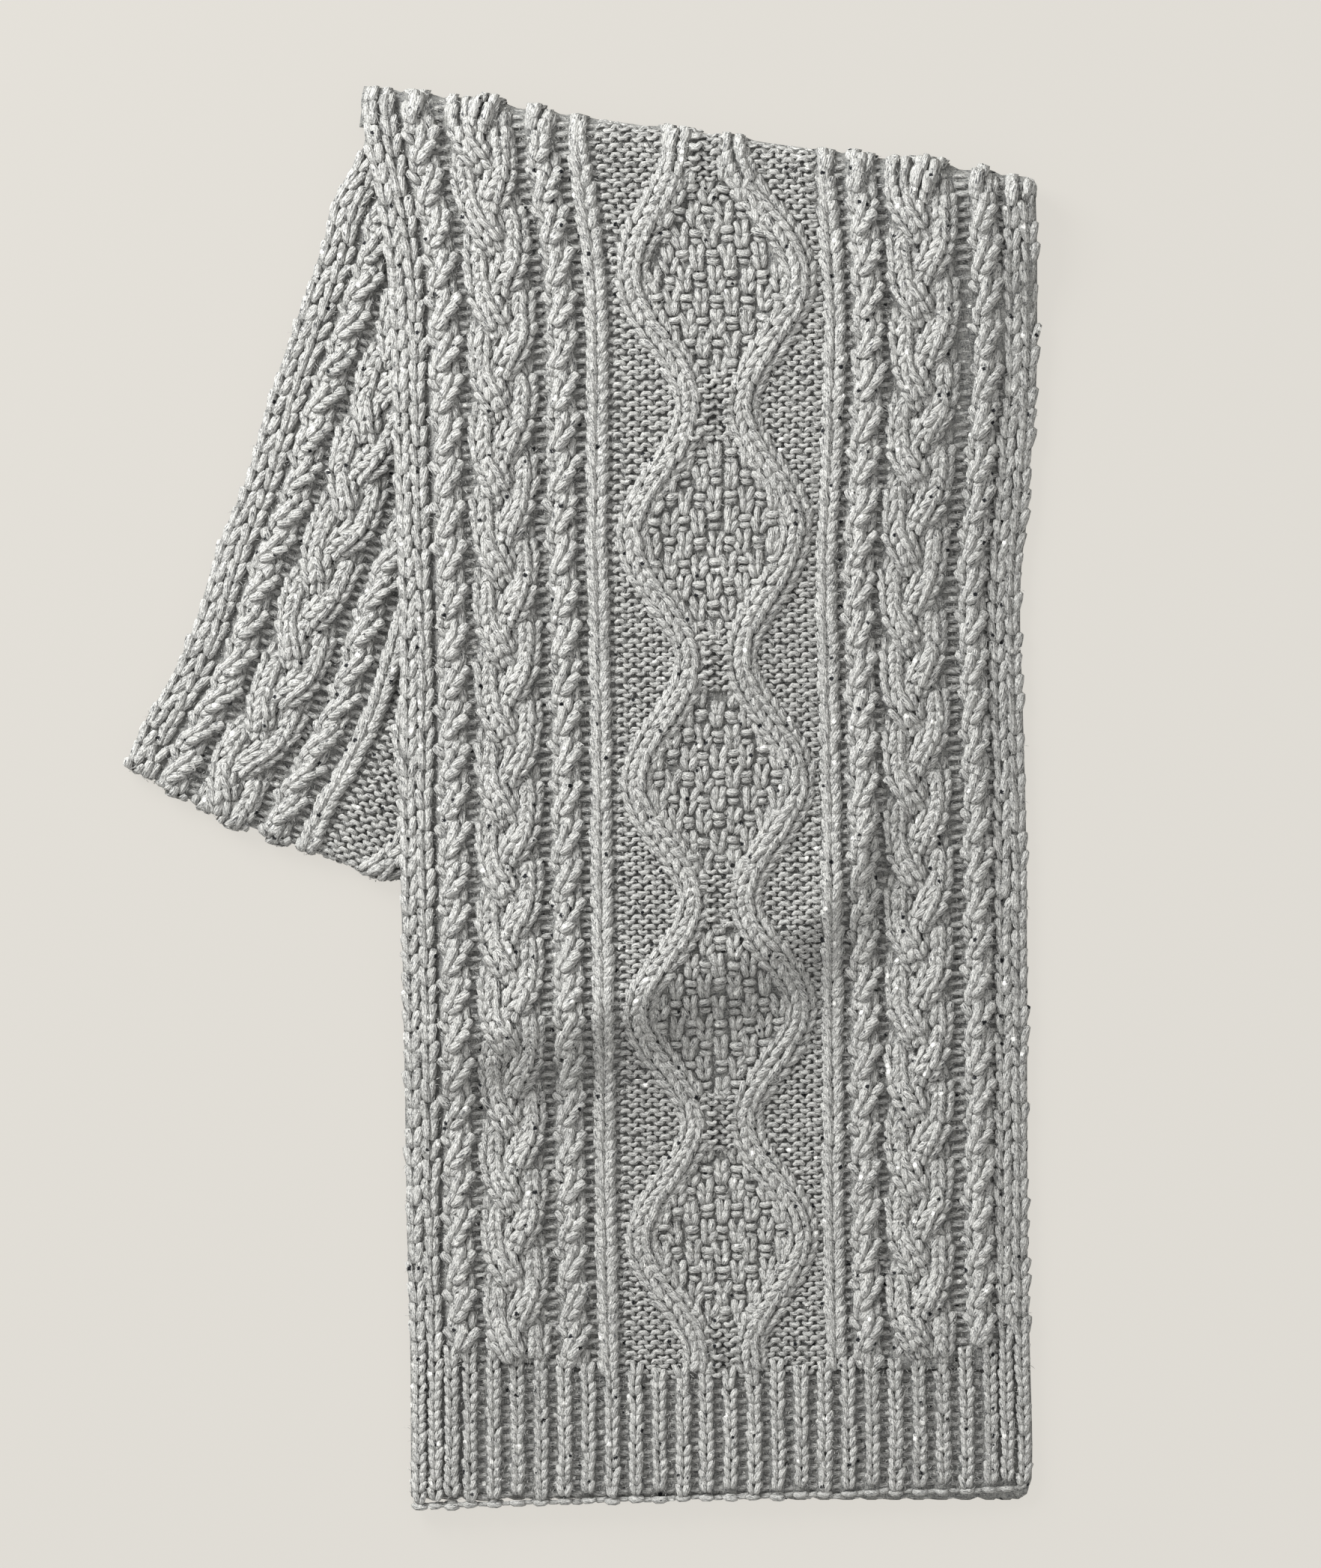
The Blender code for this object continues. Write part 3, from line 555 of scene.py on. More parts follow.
@dataclass(frozen=True)
class Chart:
    """The cable pattern, and the height of its work above the plain wall."""

    plait_shift: float = 0.0
    crossing: float = 0.8  # steps either side of a crossing that a strand is lifted or sunk
    selvedge_rise: float = 1.5
    selvedge_round: float = 0.85  # how much of a round section it has
    rope_rise: float = 3.2
    rope_twist: float = 0.42  # turns from its middle to its side
    rope_lump: float = 0.38  # how much of its height comes and goes with the twist
    plait_rise: float = 3.8
    plait_bed: float = 0.45  # height between its strands, as a share
    plait_lump: float = 0.45  # how much of a strand's height comes and goes
    rib_rise: float = 1.9
    line_rise: float = 2.6
    moss_rise: float = -1.4
    moss_rim: float = 3.2

    def reach(self, row: Array) -> Array:
        """Distance from the lattice's centre to each of its two lines."""
        place = straight(PINCH_ROWS, range(len(PINCH_ROWS)), row)
        swing = 0.5 - 0.5 * np.cos(2 * np.pi * place)
        return DIAMOND_NARROW + (DIAMOND_WIDE - DIAMOND_NARROW) * swing

    def plait_step(self, row: Array, strand: int) -> Array:
        """Where a strand is in the plait's cycle of crossings at 2, 3, 5 and 6, from 1 to 7."""
        since = (row + self.plait_shift - FIRST_CROSSING) / (PLAIT_ROWS / 2) + 2 * strand
        return (since - 1) % 6 + 1

    def strand_place(self, row: Array, strand: int) -> Array:
        """Where a plait's strand runs, from -1 at its left slot to 1 at its right one."""
        step = self.plait_step(row, strand)
        return 1 - stride(step - 2) - stride(step - 3) + stride(step - 5) + stride(step - 6)

    def strand_lift(self, row: Array, strand: int) -> Array:
        """1 where a plait's strand crosses in front, and -1 where it passes behind."""
        step = self.plait_step(row, strand)
        front = hump((step - 6) / self.crossing) + hump((step - 3) / self.crossing)
        behind = hump((step - 2) / self.crossing) + hump((step - 5) / self.crossing)
        return front - behind

    def rope(self, t: Array, row: Array) -> Array:
        """Height of a small cable that twists up to the right."""
        turns = (row - FIRST_CROSSING) / ROPE_ROWS - self.rope_twist * t
        lump = 0.5 + 0.5 * np.cos(2 * np.pi * turns)
        return self.rope_rise * dome(t) * (1 - self.rope_lump * (1 - lump))

    def plait(self, t: Array, row: Array) -> Array:
        """Height of three flat strands, each passing over its neighbour in turn."""
        best = self.plait_bed * dome(t)
        for strand in range(3):
            section = dome((t - PLAIT_SPREAD * self.strand_place(row, strand)) / PLAIT_STRAND)
            lift = 0.5 + 0.5 * self.strand_lift(row, strand)
            best = np.maximum(best, section * (1 - self.plait_lump * (1 - lift)))
        return self.plait_rise * best

    def lattice(self, across: Array, row: Array) -> Array:
        """Height of two travelling lines with a shallow bowl between them."""
        reach = self.reach(row)
        out = np.abs(across - DIAMOND_CENTRE)
        line = self.line_rise * dome((out - reach) / LINE_HALF)
        bowl = self.moss_rise + (self.moss_rim - self.moss_rise) * (out / reach) ** 2
        return np.where(out < reach, np.maximum(line, bowl), line)

    def band_rise(self, kind: BandKind, t: Array, across: Array, row: Array) -> Array:
        """Height of one kind of band, where t is -1 and 1 at its edges."""
        match kind:
            case BandKind.SELVEDGE:
                return self.selvedge_rise * dome(self.selvedge_round * t)
            case BandKind.ROPE:
                return self.rope(t, row)
            case BandKind.PLAIT:
                return self.plait(t, row)
            case BandKind.RIB:
                return self.rib_rise * dome(t)
            case BandKind.LATTICE:
                return self.lattice(across, row)

    def rise(self, across: Array, row: Array) -> Array:
        """Height of the work above the plain wall."""
        total = np.zeros(np.broadcast(across, row).shape)
        for band in BANDS:
            t = (across - band.middle) / band.half
            height = self.band_rise(band.kind, t, across, row)
            total = np.where(np.abs(t) <= 1, height, total)
        return total


def stride(step: Array, half: float = 0.5) -> Array:
    """One soft sideways step, from 0 to 1, a little before and after its middle."""
    return 0.5 * (smooth(-half, half, step) + np.clip(step / (2 * half) + 0.5, 0.0, 1.0))


class Track:
    """A line that a column of stitches follows along the strip."""

    offset: float = 0.0  # how far to the right of that line the column lies
    sample: float = 0.25  # rows either side that its lean is taken from

    def centre(self, row: Array) -> Array:
        """Its distance across, at each row."""
        raise NotImplementedError

    def lift(self, row: Array) -> Array:
        """How much higher than the pattern it lies, in millimetres."""
        return np.zeros_like(row)

    def turn(self, row: Array) -> Array:
        """Its lean to the right, in radians."""
        run = self.centre(row + self.sample) - self.centre(row - self.sample)
        return np.arctan(run / (2 * self.sample * ROW_HEIGHT))


@dataclass(frozen=True)
class Upright(Track):
    """A column that runs straight along the strip."""

    across: float
    offset: float = 0.0

    def centre(self, row: Array) -> Array:
        """Its distance across, at each row."""
        return np.full_like(row, self.across)


@dataclass(frozen=True)
class LineTrack(Track):
    """One column of a lattice line."""

    chart: Chart
    side: int
    offset: float

    def centre(self, row: Array) -> Array:
        """Its distance across, at each row."""
        return DIAMOND_CENTRE + self.side * self.chart.reach(row)


@dataclass(frozen=True)
class RopeTrack(Track):
    """One of a small cable's two strands: one steps right in front, and one goes back behind."""

    band: Band
    strand: int
    offset: float = 0.0
    spread: float = 0.56  # from the band's middle, as a share of its half width
    half_stride: float = 0.46
    over: float = 0.6  # how far up it goes in front, in millimetres
    under: float = 2.2  # and how far down behind

    def step(self, row: Array) -> Array:
        """Its place in the cable's cycle of two crossings, from -0.5 to 1.5."""
        return ((row - FIRST_CROSSING) / ROPE_ROWS + self.strand + 0.5) % 2 - 0.5

    def centre(self, row: Array) -> Array:
        """Its distance across, at each row."""
        step = self.step(row)
        slot = 2 * stride(step, self.half_stride) - 2 * stride(step - 1, self.half_stride) - 1
        return self.band.middle + self.band.half * self.spread * slot

    def lift(self, row: Array) -> Array:
        """Up where it crosses in front, and down where it goes behind."""
        step = self.step(row)
        return self.over * hump(step / 0.5) - self.under * hump((step - 1) / 0.45)


@dataclass(frozen=True)
class PlaitTrack(Track):
    """One of the two columns of a plait's strand."""

    chart: Chart
    band: Band
    strand: int
    offset: float
    over: float = 1.1  # how far up it goes in front, in millimetres
    under: float = 2.6  # and how far down behind

    def centre(self, row: Array) -> Array:
        """Its distance across, at each row."""
        place = self.chart.strand_place(row, self.strand)
        return self.band.middle + PLAIT_SPREAD * self.band.half * place

    def lift(self, row: Array) -> Array:
        """Up where it crosses in front, and down where it goes behind."""
        lift = self.chart.strand_lift(row, self.strand)
        return np.where(lift > 0, self.over * lift, self.under * lift)


# Yarn.


@dataclass(frozen=True)
class Hand:
    """How far a hand strays from even work: the spread of each number of a length of yarn."""

    across: float = 0.14
    row: float = 0.06
    heading: float = 0.06
    length: float = 0.05  # this one, wide and thick are shares
    bow: float = 0.12
    wide: float = 0.09
    thick: float = 0.06
    crown: float = 0.09


@dataclass
class Yarns:
    """Short lengths of yarn on a stretch of cloth, with one number for each in every field."""

    across: Array  # where it starts
    row: Array
    heading: Array  # radians, 0 along the strip and more to the right
    length: Array
    bow: Array  # how far its middle strays to the right of its heading
    wide: Array  # half of its width
    thick: Array  # half of its thickness
    foot: Array  # height of its start above the plain wall
    crown: Array  # height of its middle
    head: Array  # height of its end

    @classmethod
    def lay(cls, **named: object) -> "Yarns":
        """Lengths of yarn from named numbers and arrays, spread to one length."""
        values = np.broadcast_arrays(*[np.asarray(named[f.name], float) for f in fields(cls)])
        return cls(*[value.ravel().copy() for value in values])

    @classmethod
    def joined(cls, parts: Sequence["Yarns"]) -> "Yarns":
        """Several lots of yarn as one."""
        return cls(*[np.concatenate([getattr(p, f.name) for p in parts]) for f in fields(cls)])

    def kept(self, keep: Array) -> "Yarns":
        """Only those for which keep is true."""
        return Yarns(*[getattr(self, f.name)[keep] for f in fields(self)])

    def middle(self) -> tuple[Array, Array]:
        """(across, row) of the middle of each."""
        half = self.length / 2
        across = self.across + half * np.sin(self.heading) + self.bow * np.cos(self.heading)
        row = self.row + (half * np.cos(self.heading) - self.bow * np.sin(self.heading)) / ROW_HEIGHT
        return across, row

    def uneven(self, rng: np.random.Generator, hand: Hand = Hand()) -> "Yarns":
        """The same yarn as a hand holds it: never twice quite alike."""
        count = len(self.across)
        return Yarns(
            self.across + rng.normal(0, hand.across, count),
            self.row + rng.normal(0, hand.row, count),
            self.heading + rng.normal(0, hand.heading, count),
            self.length * rng.normal(1, hand.length, count),
            self.bow + rng.normal(0, hand.bow, count),
            self.wide * np.clip(rng.normal(1, hand.wide, count), 0.8, 1.2),
            self.thick * np.clip(rng.normal(1, hand.thick, count), 0.85, 1.15),
            self.foot,
            self.crown + rng.normal(0, hand.crown, count),
            self.head,
        )


@dataclass(frozen=True)
class Leg:
    """The proportions of the two legs of a knit stitch, which make a V."""

    pitch: float  # width of its column
    reach: float = 1.8  # length in rows
    foot: float = 0.09  # places of its ends, as shares of the pitch from the middle
    head: float = 0.44
    plump: float = 0.255  # half of its width, as a share of the pitch
    thick: float = 1.35  # half of its thickness
    seat: float = 0.8  # how much of that keeps its middle under the height of the work
    sink: float = 2.0  # how much deeper its head lies than its middle, under the next stitch
    foot_sink: float = 0.5  # and its foot
    fall: float = 0.0  # how much lower a leg lies a whole pitch from its strand's middle


def knit(chart: Chart, track: Track, rows: Array, leg: Leg, up: Optional[float] = None) -> Yarns:
    """The legs of a column of knit stitches.

    Args:
        chart: The pattern, for the height of the work.
        track: The line that the column follows.
        rows: The row at which each stitch starts.
        leg: The proportions of the legs.
        up: Height of the work, where it isn't the chart's.

    Returns:
        Two lengths of yarn for each row.
    """
    parts = []
    middle_row = rows + leg.reach / 2
    centre, middle, turn = track.centre(rows), track.centre(middle_row), track.turn(middle_row)
    run = leg.reach * ROW_HEIGHT / np.sqrt(np.cos(turn))
    for side in (-1, 1):
        foot = track.offset + side * leg.foot * leg.pitch
        lean = np.arctan((leg.head - leg.foot) * leg.pitch * side / run)
        half_way = track.offset + side * leg.pitch * (leg.foot + leg.head) / 2
        height = chart.rise(middle + half_way * np.cos(turn), middle_row) if up is None else up
        crown = height - leg.thick * leg.seat + track.lift(middle_row)
        crown = crown - leg.fall * (half_way / leg.pitch) ** 2
        parts.append(
            Yarns.lay(
                across=centre + foot * np.cos(turn),
                row=rows - foot * np.sin(turn) / ROW_HEIGHT,
                heading=turn + lean,
                length=run / np.cos(lean),
                bow=0.0,
                wide=leg.plump * leg.pitch,
                thick=leg.thick,
                foot=crown - leg.foot_sink,
                crown=crown,
                head=crown - leg.sink,
            )
        )
    return Yarns.joined(parts)


class Bar(NamedTuple):
    """The proportions of a length of yarn that lies across the strip, as in a purl bump."""

    length: float  # from end to end
    bow: float  # how far its middle strays towards the hem
    wide: float  # half of its height along the strip
    thick: float  # half of its thickness
    sink: float = 0.9  # how much deeper its ends lie than its middle


def bars(across: Array, row: Array, crown: Array, bar: Bar) -> Yarns:
    """Lengths of yarn that lie across the strip, centred on each place.

    Args:
        across: Where the middle of each lies.
        row: The row of its ends.
        crown: Height of its middle above the plain wall.
        bar: Its proportions.

    Returns:
        One length of yarn for each place.
    """
    return Yarns.lay(
        across=across - bar.length / 2,
        row=row,
        heading=np.pi / 2,
        length=bar.length,
        bow=bar.bow,
        wide=bar.wide,
        thick=bar.thick,
        foot=crown - bar.sink,
        crown=crown,
        head=crown - bar.sink,
    )


@dataclass(frozen=True)
class Stitches:
    """The stitches of each band of the pattern, over a range of rows."""

    chart: Chart
    low: float
    high: float
    hem_tops: bool = False

    selvedge_leg: Leg = Leg(6.4, reach=2.4, foot=0.10, head=0.40, plump=0.29, thick=0.65, sink=0.7)
    rope_leg: Leg = Leg(7.0, reach=1.75, foot=0.10, head=0.41, plump=0.30, thick=0.55, sink=0.8)
    plait_leg: Leg = Leg(5.6, reach=1.6, foot=0.09, head=0.44, plump=0.32, thick=0.55, sink=0.7, fall=0.6)
    rib_leg: Leg = Leg(8.0, reach=1.8, foot=0.09, head=0.39, plump=0.27, thick=0.8, sink=0.9)
    line_leg: Leg = Leg(6.2, reach=1.6, foot=0.09, head=0.43, plump=0.30, thick=0.6, sink=0.7, fall=1.2)
    moss_leg: Leg = Leg(
        6.0, reach=1.7, foot=0.10, head=0.41, plump=0.26, thick=1.1, sink=1.2, foot_sink=0.7
    )
    selvedge_step: float = 2.0  # rows
    selvedge_shift: float = 0.7  # rows from one of its columns to the other
    ground_pitch: float = 5.3
    ground_head: Bar = Bar(4.5, -1.6, 1.15, 1.15, 0.7)
    ground_foot: Bar = Bar(4.2, 1.4, 1.1, 1.0, 0.4)
    open_ground: float = 7.0  # where a diamond is narrower than this each way, it holds ground
    moss_columns: int = 11
    moss_pitch: float = 5.95
    moss_step: float = 4.25  # rows
    moss_first: float = 0.6  # rows by which every column starts later
    moss_reach: float = 1.6  # how far a column's middle may lie past a line's inner edge
    moss_room: float = 5.0  # where a diamond is narrower than this each way, it has no moss
    moss_ups: tuple[float, float] = (0.0, 1.05)  # rows at which its two knit Vs start
    moss_bars: tuple[tuple[float, float, Bar], ...] = (  # rows down, depth, proportions
        (0.2, 0.1, Bar(6.0, 1.05, 1.6, 1.2, 1.9)),
        (1.0, 1.0, Bar(5.2, 1.05, 1.4, 1.2, 1.6)),
    )
    moss_aside: float = 0.35  # how far a moss stitch strays to a side
    moss_lean: float = 0.09
    moss_uneven: float = 0.2
    least_gap: float = 1.2  # a groove between two bands that is narrower has no bumps

    def rows(self, across: float, step: float = 1.0, phase: float = 0.1) -> Array:
        """The rows in range at a distance across, at a step and phase."""
        low = self.low
        if self.hem_tops:
            low = float(np.interp(across, *zip(*HEM_TOPS)))
        return np.arange(math.ceil((low - phase) / step), (self.high - phase) / step) * step + phase

    def selvedge(self, band: Band) -> Yarns:
        """Two columns of long stitches at the strip's edge, slipped on every other row."""
        parts = []
        for i in (0, 1):
            at = band.start + band.half * (i + 0.5)
            rows = self.rows(at, self.selvedge_step, phase=0.1 + self.selvedge_shift * i)
            parts.append(knit(self.chart, Upright(at), rows, self.selvedge_leg))
        return Yarns.joined(parts)

    def rope(self, band: Band) -> Yarns:
        """A small cable of two strands."""
        rows = self.rows(band.middle)
        return Yarns.joined(
            [knit(self.chart, RopeTrack(band, strand), rows, self.rope_leg) for strand in (0, 1)]
        )

    def plait(self, band: Band) -> Yarns:
        """A plait of three strands, each two columns wide."""
        rows, half = self.rows(band.middle), self.plait_leg.pitch / 2
        tracks = [
            PlaitTrack(self.chart, band, strand, offset)
            for strand in range(3)
            for offset in (-half, half)
        ]
        return Yarns.joined([knit(self.chart, track, rows, self.plait_leg) for track in tracks])

    def rib(self, band: Band) -> Yarns:
        """A single fat column, raised like a cord."""
        return knit(self.chart, Upright(band.middle), self.rows(band.middle), self.rib_leg)

    def lines(self) -> Yarns:
        """The lattice's two travelling lines, each two columns wide."""
        half = self.line_leg.pitch / 2
        rows = self.rows(DIAMOND_CENTRE)
        tracks = [LineTrack(self.chart, side, o) for side in (-1, 1) for o in (-half, half)]
        return Yarns.joined([knit(self.chart, track, rows, self.line_leg) for track in tracks])

    def ground(self, band: Band) -> Yarns:
        """Purl ground: two rows of interlocking bumps for each row of stitches."""
        count = round(2 * band.half / self.ground_pitch)
        pitch = 2 * band.half / count
        columns = band.start + (np.arange(count) + 0.5) * pitch
        across, row = (grid.ravel() for grid in np.meshgrid(columns, self.rows(band.middle)))
        within = np.abs(across - DIAMOND_CENTRE) < self.chart.reach(row)
        level = np.where(within, self.chart.rise(across, row) + 0.1, -0.2)
        heads = bars(across, row, level, self.ground_head)
        feet = bars(across + pitch / 2, row + 0.1, level - 0.2, self.ground_foot)
        both = Yarns.joined([heads, feet])
        at, at_row = both.middle()
        out, reach = np.abs(at - DIAMOND_CENTRE), self.chart.reach(at_row)
        outside = (out > reach + LINE_HALF - 2.2) & (at < band.end)
        room = reach - LINE_HALF
        pinched = (room < self.open_ground) & (out < room + 2.0)
        return both.kept(outside | pinched)

    def moss(self) -> Yarns:
        """Double moss in the diamonds: tall knit Vs, each over two purl bars, in turn."""
        rng, parts = np.random.default_rng(SEED), []
        half = self.moss_columns // 2
        for i in range(-half, half + 1):
            at = DIAMOND_CENTRE + i * self.moss_pitch
            phase = self.moss_step / 2 * (i % 2) + self.moss_first
            rows = self.rows(DIAMOND_CENTRE, step=self.moss_step, phase=phase)
            room = self.chart.reach(rows + 1.0) - LINE_HALF
            within = abs(at - DIAMOND_CENTRE) < room + self.moss_reach
            rows = rows[within & (room > self.moss_room)]
            rows = rows + rng.normal(0, 0.09, len(rows))
            places = np.full_like(rows, at)
            aside = rng.normal(0, self.moss_aside, len(rows))
            lean = rng.normal(0, self.moss_lean, len(rows))
            level = self.chart.rise(places, rows + 1.3) + 0.2
            stitch = [
                knit(self.chart, Upright(at), rows + up, self.moss_leg, up=level) for up in self.moss_ups
            ]
            for down, deep, bar in self.moss_bars:
                crown = self.chart.rise(places, rows - down) - deep
                stitch.append(bars(places, rows - down, crown, bar))
            stitch = Yarns.joined(stitch)
            lengths = 2 * len(self.moss_ups) + len(self.moss_bars)
            stitch.across += np.tile(aside, lengths)
            stitch.heading += np.tile(lean, lengths)
            parts.append(stitch)
        moss = Yarns.joined(parts)
        moss.heading += rng.normal(0, self.moss_lean, len(moss.heading))
        moss.crown += rng.normal(0, self.moss_uneven, len(moss.crown))
        return moss

    def gaps(self, low: float, high: float) -> Yarns:
        """The narrow purl grooves between the bands, from one distance across to another."""
        parts = []
        for one, other in zip(BANDS, BANDS[1:]):
            width, at = other.start - one.end, (one.end + other.start) / 2
            if low < at < high and width > self.least_gap:
                rows = self.rows(at, phase=0.4)
                places, crown = np.full_like(rows, at), np.full_like(rows, -0.9)
                head, foot = Bar(width + 3.2, -1.1, 1.1, 1.15), Bar(width + 2.8, 1.0, 0.95, 1.0)
                parts.append(bars(places - 0.7, rows, crown, head))
                parts.append(bars(places + 0.9, rows + 0.55, crown - 0.4, foot))
        return Yarns.joined(parts)

    def between(self, low: float, high: float) -> Yarns:
        """All the stitches of the bands that start between two distances across."""
        parts = [self.gaps(low, high)]
        for band in BANDS:
            if not low <= band.start < high:
                continue
            if band.kind is BandKind.LATTICE:
                parts += [self.lines(), self.ground(band), self.moss()]
            else:
                parts.append(getattr(self, band.kind.value)(band))
        return Yarns.joined(parts)


# Finishes.


def linear(hex_colour: str) -> tuple[float, float, float, float]:
    """An sRGB hex colour in linear light, with an alpha of 1."""
    parts = [int(hex_colour[i : i + 2], 16) / 255 for i in (1, 3, 5)]
    red, green, blue = (p / 12.92 if p <= 0.04045 else ((p + 0.055) / 1.055) ** 2.4 for p in parts)
    return red, green, blue, 1.0


def wire(tree: bpy.types.NodeTree, node: bpy.types.Node, inputs: dict) -> None:
    """Sets a node's inputs, by name or number, to values, or links sockets to them."""
    for name, value in inputs.items():
        if isinstance(value, bpy.types.NodeSocket):
            tree.links.new(value, node.inputs[name])
        else:
            node.inputs[name].default_value = value


def add_node(
    tree: bpy.types.NodeTree, kind: str, inputs: dict, **settings: object
) -> bpy.types.Node:
    """Adds a node to a material.

    Args:
        tree: The material's node tree.
        kind: The node's type.
        inputs: Values, or sockets to link, by input name or number.
        settings: The node's own settings.

    Returns:
        The new node.
    """
    node = tree.nodes.new(kind)
    for name, value in settings.items():
        setattr(node, name, value)
    wire(tree, node, inputs)
    return node


def new_material(name: str) -> tuple[bpy.types.Material, bpy.types.NodeTree, bpy.types.Node]:
    """A material with its node tree and its shader."""
    made = bpy.data.materials.new(name)
    made.use_nodes = True
    return made, made.node_tree, made.node_tree.nodes["Principled BSDF"]


@dataclass(frozen=True)
class MarlWool:
    """Soft plied wool, spun from pale, grey and charcoal fibres, with dark and pale neps.

    It gives the eye a dry, matt, woolly surface, whose colour never lies flat.
    """

    name: str
    pale: str = "#BCBCB8"
    grey: str = "#A7A7A3"
    dark: str = "#666665"
    # The charcoal of the real flecks, also used as painted shade in the ply grooves.
    fleck: str = "#3A3B3D"
    nep: str = "#1F2022"
    pale_nep: str = "#D0D0CC"
    on_yarn: bool = True  # its grain follows each length of yarn, and shows the plies
    fibre_long: float = 2.6  # mm
    fibre_wide: float = 0.52  # coarser than a fibre, so that it shows
    strand_size: float = 2.2  # of a lock of fibres, against one fibre
    fleck_size: tuple[float, float, float] = (2.2, 0.55, 1.0)
    cloud_size: tuple[float, float, float] = (11.0, 11.0, 11.0)
    fuzz_size: tuple[float, float, float] = (0.42, 0.42, 0.42)
    lump_size: tuple[float, float, float] = (1.3, 1.3, 1.3)
    ply_length: float = 6.0  # of a full turn of the twist
    ply_width: float = 1.05
    ply_stray: float = 7.0  # how far the locks of fibres throw the twist off, in radians
    tone_spread: float = 90.0  # keeps the grain of one length of yarn apart from the next one's
    nep_size: float = 3.6  # of the cells that may hold one each
    nep_tears: float = 1.6  # tears in its edge to a millimetre
    nep_ragged: float = 1.6  # how deep they are
    dark_neps: tuple[float, float] = (0.08, 3.1)  # the share of cells with one, and a shift
    pale_neps: tuple[float, float] = (0.06, 41.7)
    relief: float = 0.48
    relief_depth: float = 0.5  # mm
    roughness: float = 0.95
    glow_through: float = 0.05  # light that soaks through the fibres and softens every edge
    glow_depth: float = 0.9  # mm

    def coordinates(self, tree: bpy.types.NodeTree) -> tuple[Socket, Socket]:
        """(vector along the yarn in mm, vector on the object in mm) for the pattern."""
        place = add_node(tree, "ShaderNodeTexCoord", {})
        on_object = add_node(
            tree, "ShaderNodeVectorMath", {0: place.outputs["Object"], 1: (1 / MM,) * 3},
            operation="MULTIPLY",
        ).outputs[0]
        if not self.on_yarn:
            return on_object, on_object
        uv = add_node(tree, "ShaderNodeUVMap", {}, uv_map=YARN_MAP)
        tone = add_node(tree, "ShaderNodeAttribute", {}, attribute_name=TONE)
        shift = add_node(tree, "ShaderNodeCombineXYZ", {"Z": tone.outputs["Fac"]})
        spread = add_node(
            tree, "ShaderNodeVectorMath", {0: shift.outputs[0], 1: (0.0, 0.0, self.tone_spread)},
            operation="MULTIPLY",
        )
        along = add_node(
            tree, "ShaderNodeVectorMath",
            {0: uv.outputs[0], 1: (CM, CM, 1.0), 2: spread.outputs[0]}, operation="MULTIPLY_ADD",
        )
        return along.outputs[0], on_object

    def grain(
        self, tree: bpy.types.NodeTree, vector: Socket, size: tuple, detail: float, stray: float = 0.0
    ) -> Socket:
        """A cloudy pattern whose grains have this size in mm each way, and stray from a line."""
        scaled = add_node(
            tree, "ShaderNodeVectorMath", {0: vector, 1: tuple(1 / side for side in size)},
            operation="MULTIPLY",
        )
        made = add_node(
            tree, "ShaderNodeTexNoise",
            {"Vector": scaled.outputs[0], "Scale": 1.0, "Detail": detail, "Roughness": 0.6,
             "Distortion": stray},
        )
        return made.outputs["Fac"]

    def overlay(
        self, tree: bpy.types.NodeTree, under: Colour, over: Colour, pattern: Socket,
        span: tuple[float, float], share: Union[float, Socket] = 1.0,
    ) -> Socket:
        """One colour laid over another where a pattern is strong.

        Args:
            tree: The material's node tree.
            under: The colour beneath.
            over: The colour on top.
            pattern: The pattern.
            span: Its values where the colour on top starts, and where it is there in full.
            share: How much of the colour on top is there in full.

        Returns:
            The socket with the colour.
        """
        cover = add_node(
            tree, "ShaderNodeMapRange",
            {"Value": pattern, "From Min": span[0], "From Max": span[1], "To Max": share},
            interpolation_type="SMOOTHSTEP",
        )
        inputs = {0: cover.outputs["Result"], 6: under, 7: over}
        return add_node(tree, "ShaderNodeMix", inputs, data_type="RGBA").outputs[2]

    def neps(
        self, tree: bpy.types.NodeTree, under: Colour, over: Colour, vector: Socket,
        scatter: tuple[float, float],
    ) -> Socket:
        """Scattered specks of matted fibre.

        Args:
            tree: The material's node tree.
            under: The colour of the wool.
            over: The colour of the specks.
            vector: Where on the object, in millimetres.
            scatter: How many of the cells have a speck, and a shift that keeps it from others.

        Returns:
            The socket with the colour.
        """
        share, shift = scatter
        ragged = add_node(tree, "ShaderNodeTexNoise", {"Vector": vector, "Scale": self.nep_tears})
        moved = add_node(
            tree, "ShaderNodeVectorMath",
            {0: ragged.outputs["Color"], 1: (self.nep_ragged,) * 3, 2: vector},
            operation="MULTIPLY_ADD",
        )
        moved = add_node(
            tree, "ShaderNodeVectorMath", {0: moved.outputs[0], 1: (shift,) * 3}, operation="ADD"
        )
        cells = add_node(
            tree, "ShaderNodeTexVoronoi", {"Vector": moved.outputs[0], "Scale": 1 / self.nep_size}
        )
        drawn = add_node(tree, "ShaderNodeSeparateColor", {0: cells.outputs["Color"]})
        chosen = add_node(
            tree, "ShaderNodeMapRange",
            {"Value": drawn.outputs[0], "From Min": 1 - share, "From Max": 1 - share + 0.01},
            interpolation_type="SMOOTHSTEP",
        ).outputs["Result"]
        return self.overlay(tree, under, over, cells.outputs["Distance"], (0.31, 0.21), chosen)

    def plies(self, tree: bpy.types.NodeTree, along: Socket, stray: Socket) -> Socket:
        """The twist of the plies, from -1 in the groove between two to 1 on top of one."""
        split = add_node(tree, "ShaderNodeSeparateXYZ", {0: along})
        phase = add_node(tree, "ShaderNodeMath", {0: stray, 1: self.ply_stray}, operation="MULTIPLY")
        for number, length in ((0, self.ply_length), (1, self.ply_width)):
            phase = add_node(
                tree, "ShaderNodeMath",
                {0: split.outputs[number], 1: 2 * math.pi / length, 2: phase.outputs[0]},
                operation="MULTIPLY_ADD",
            )
        return add_node(tree, "ShaderNodeMath", {0: phase.outputs[0]}, operation="SINE").outputs[0]

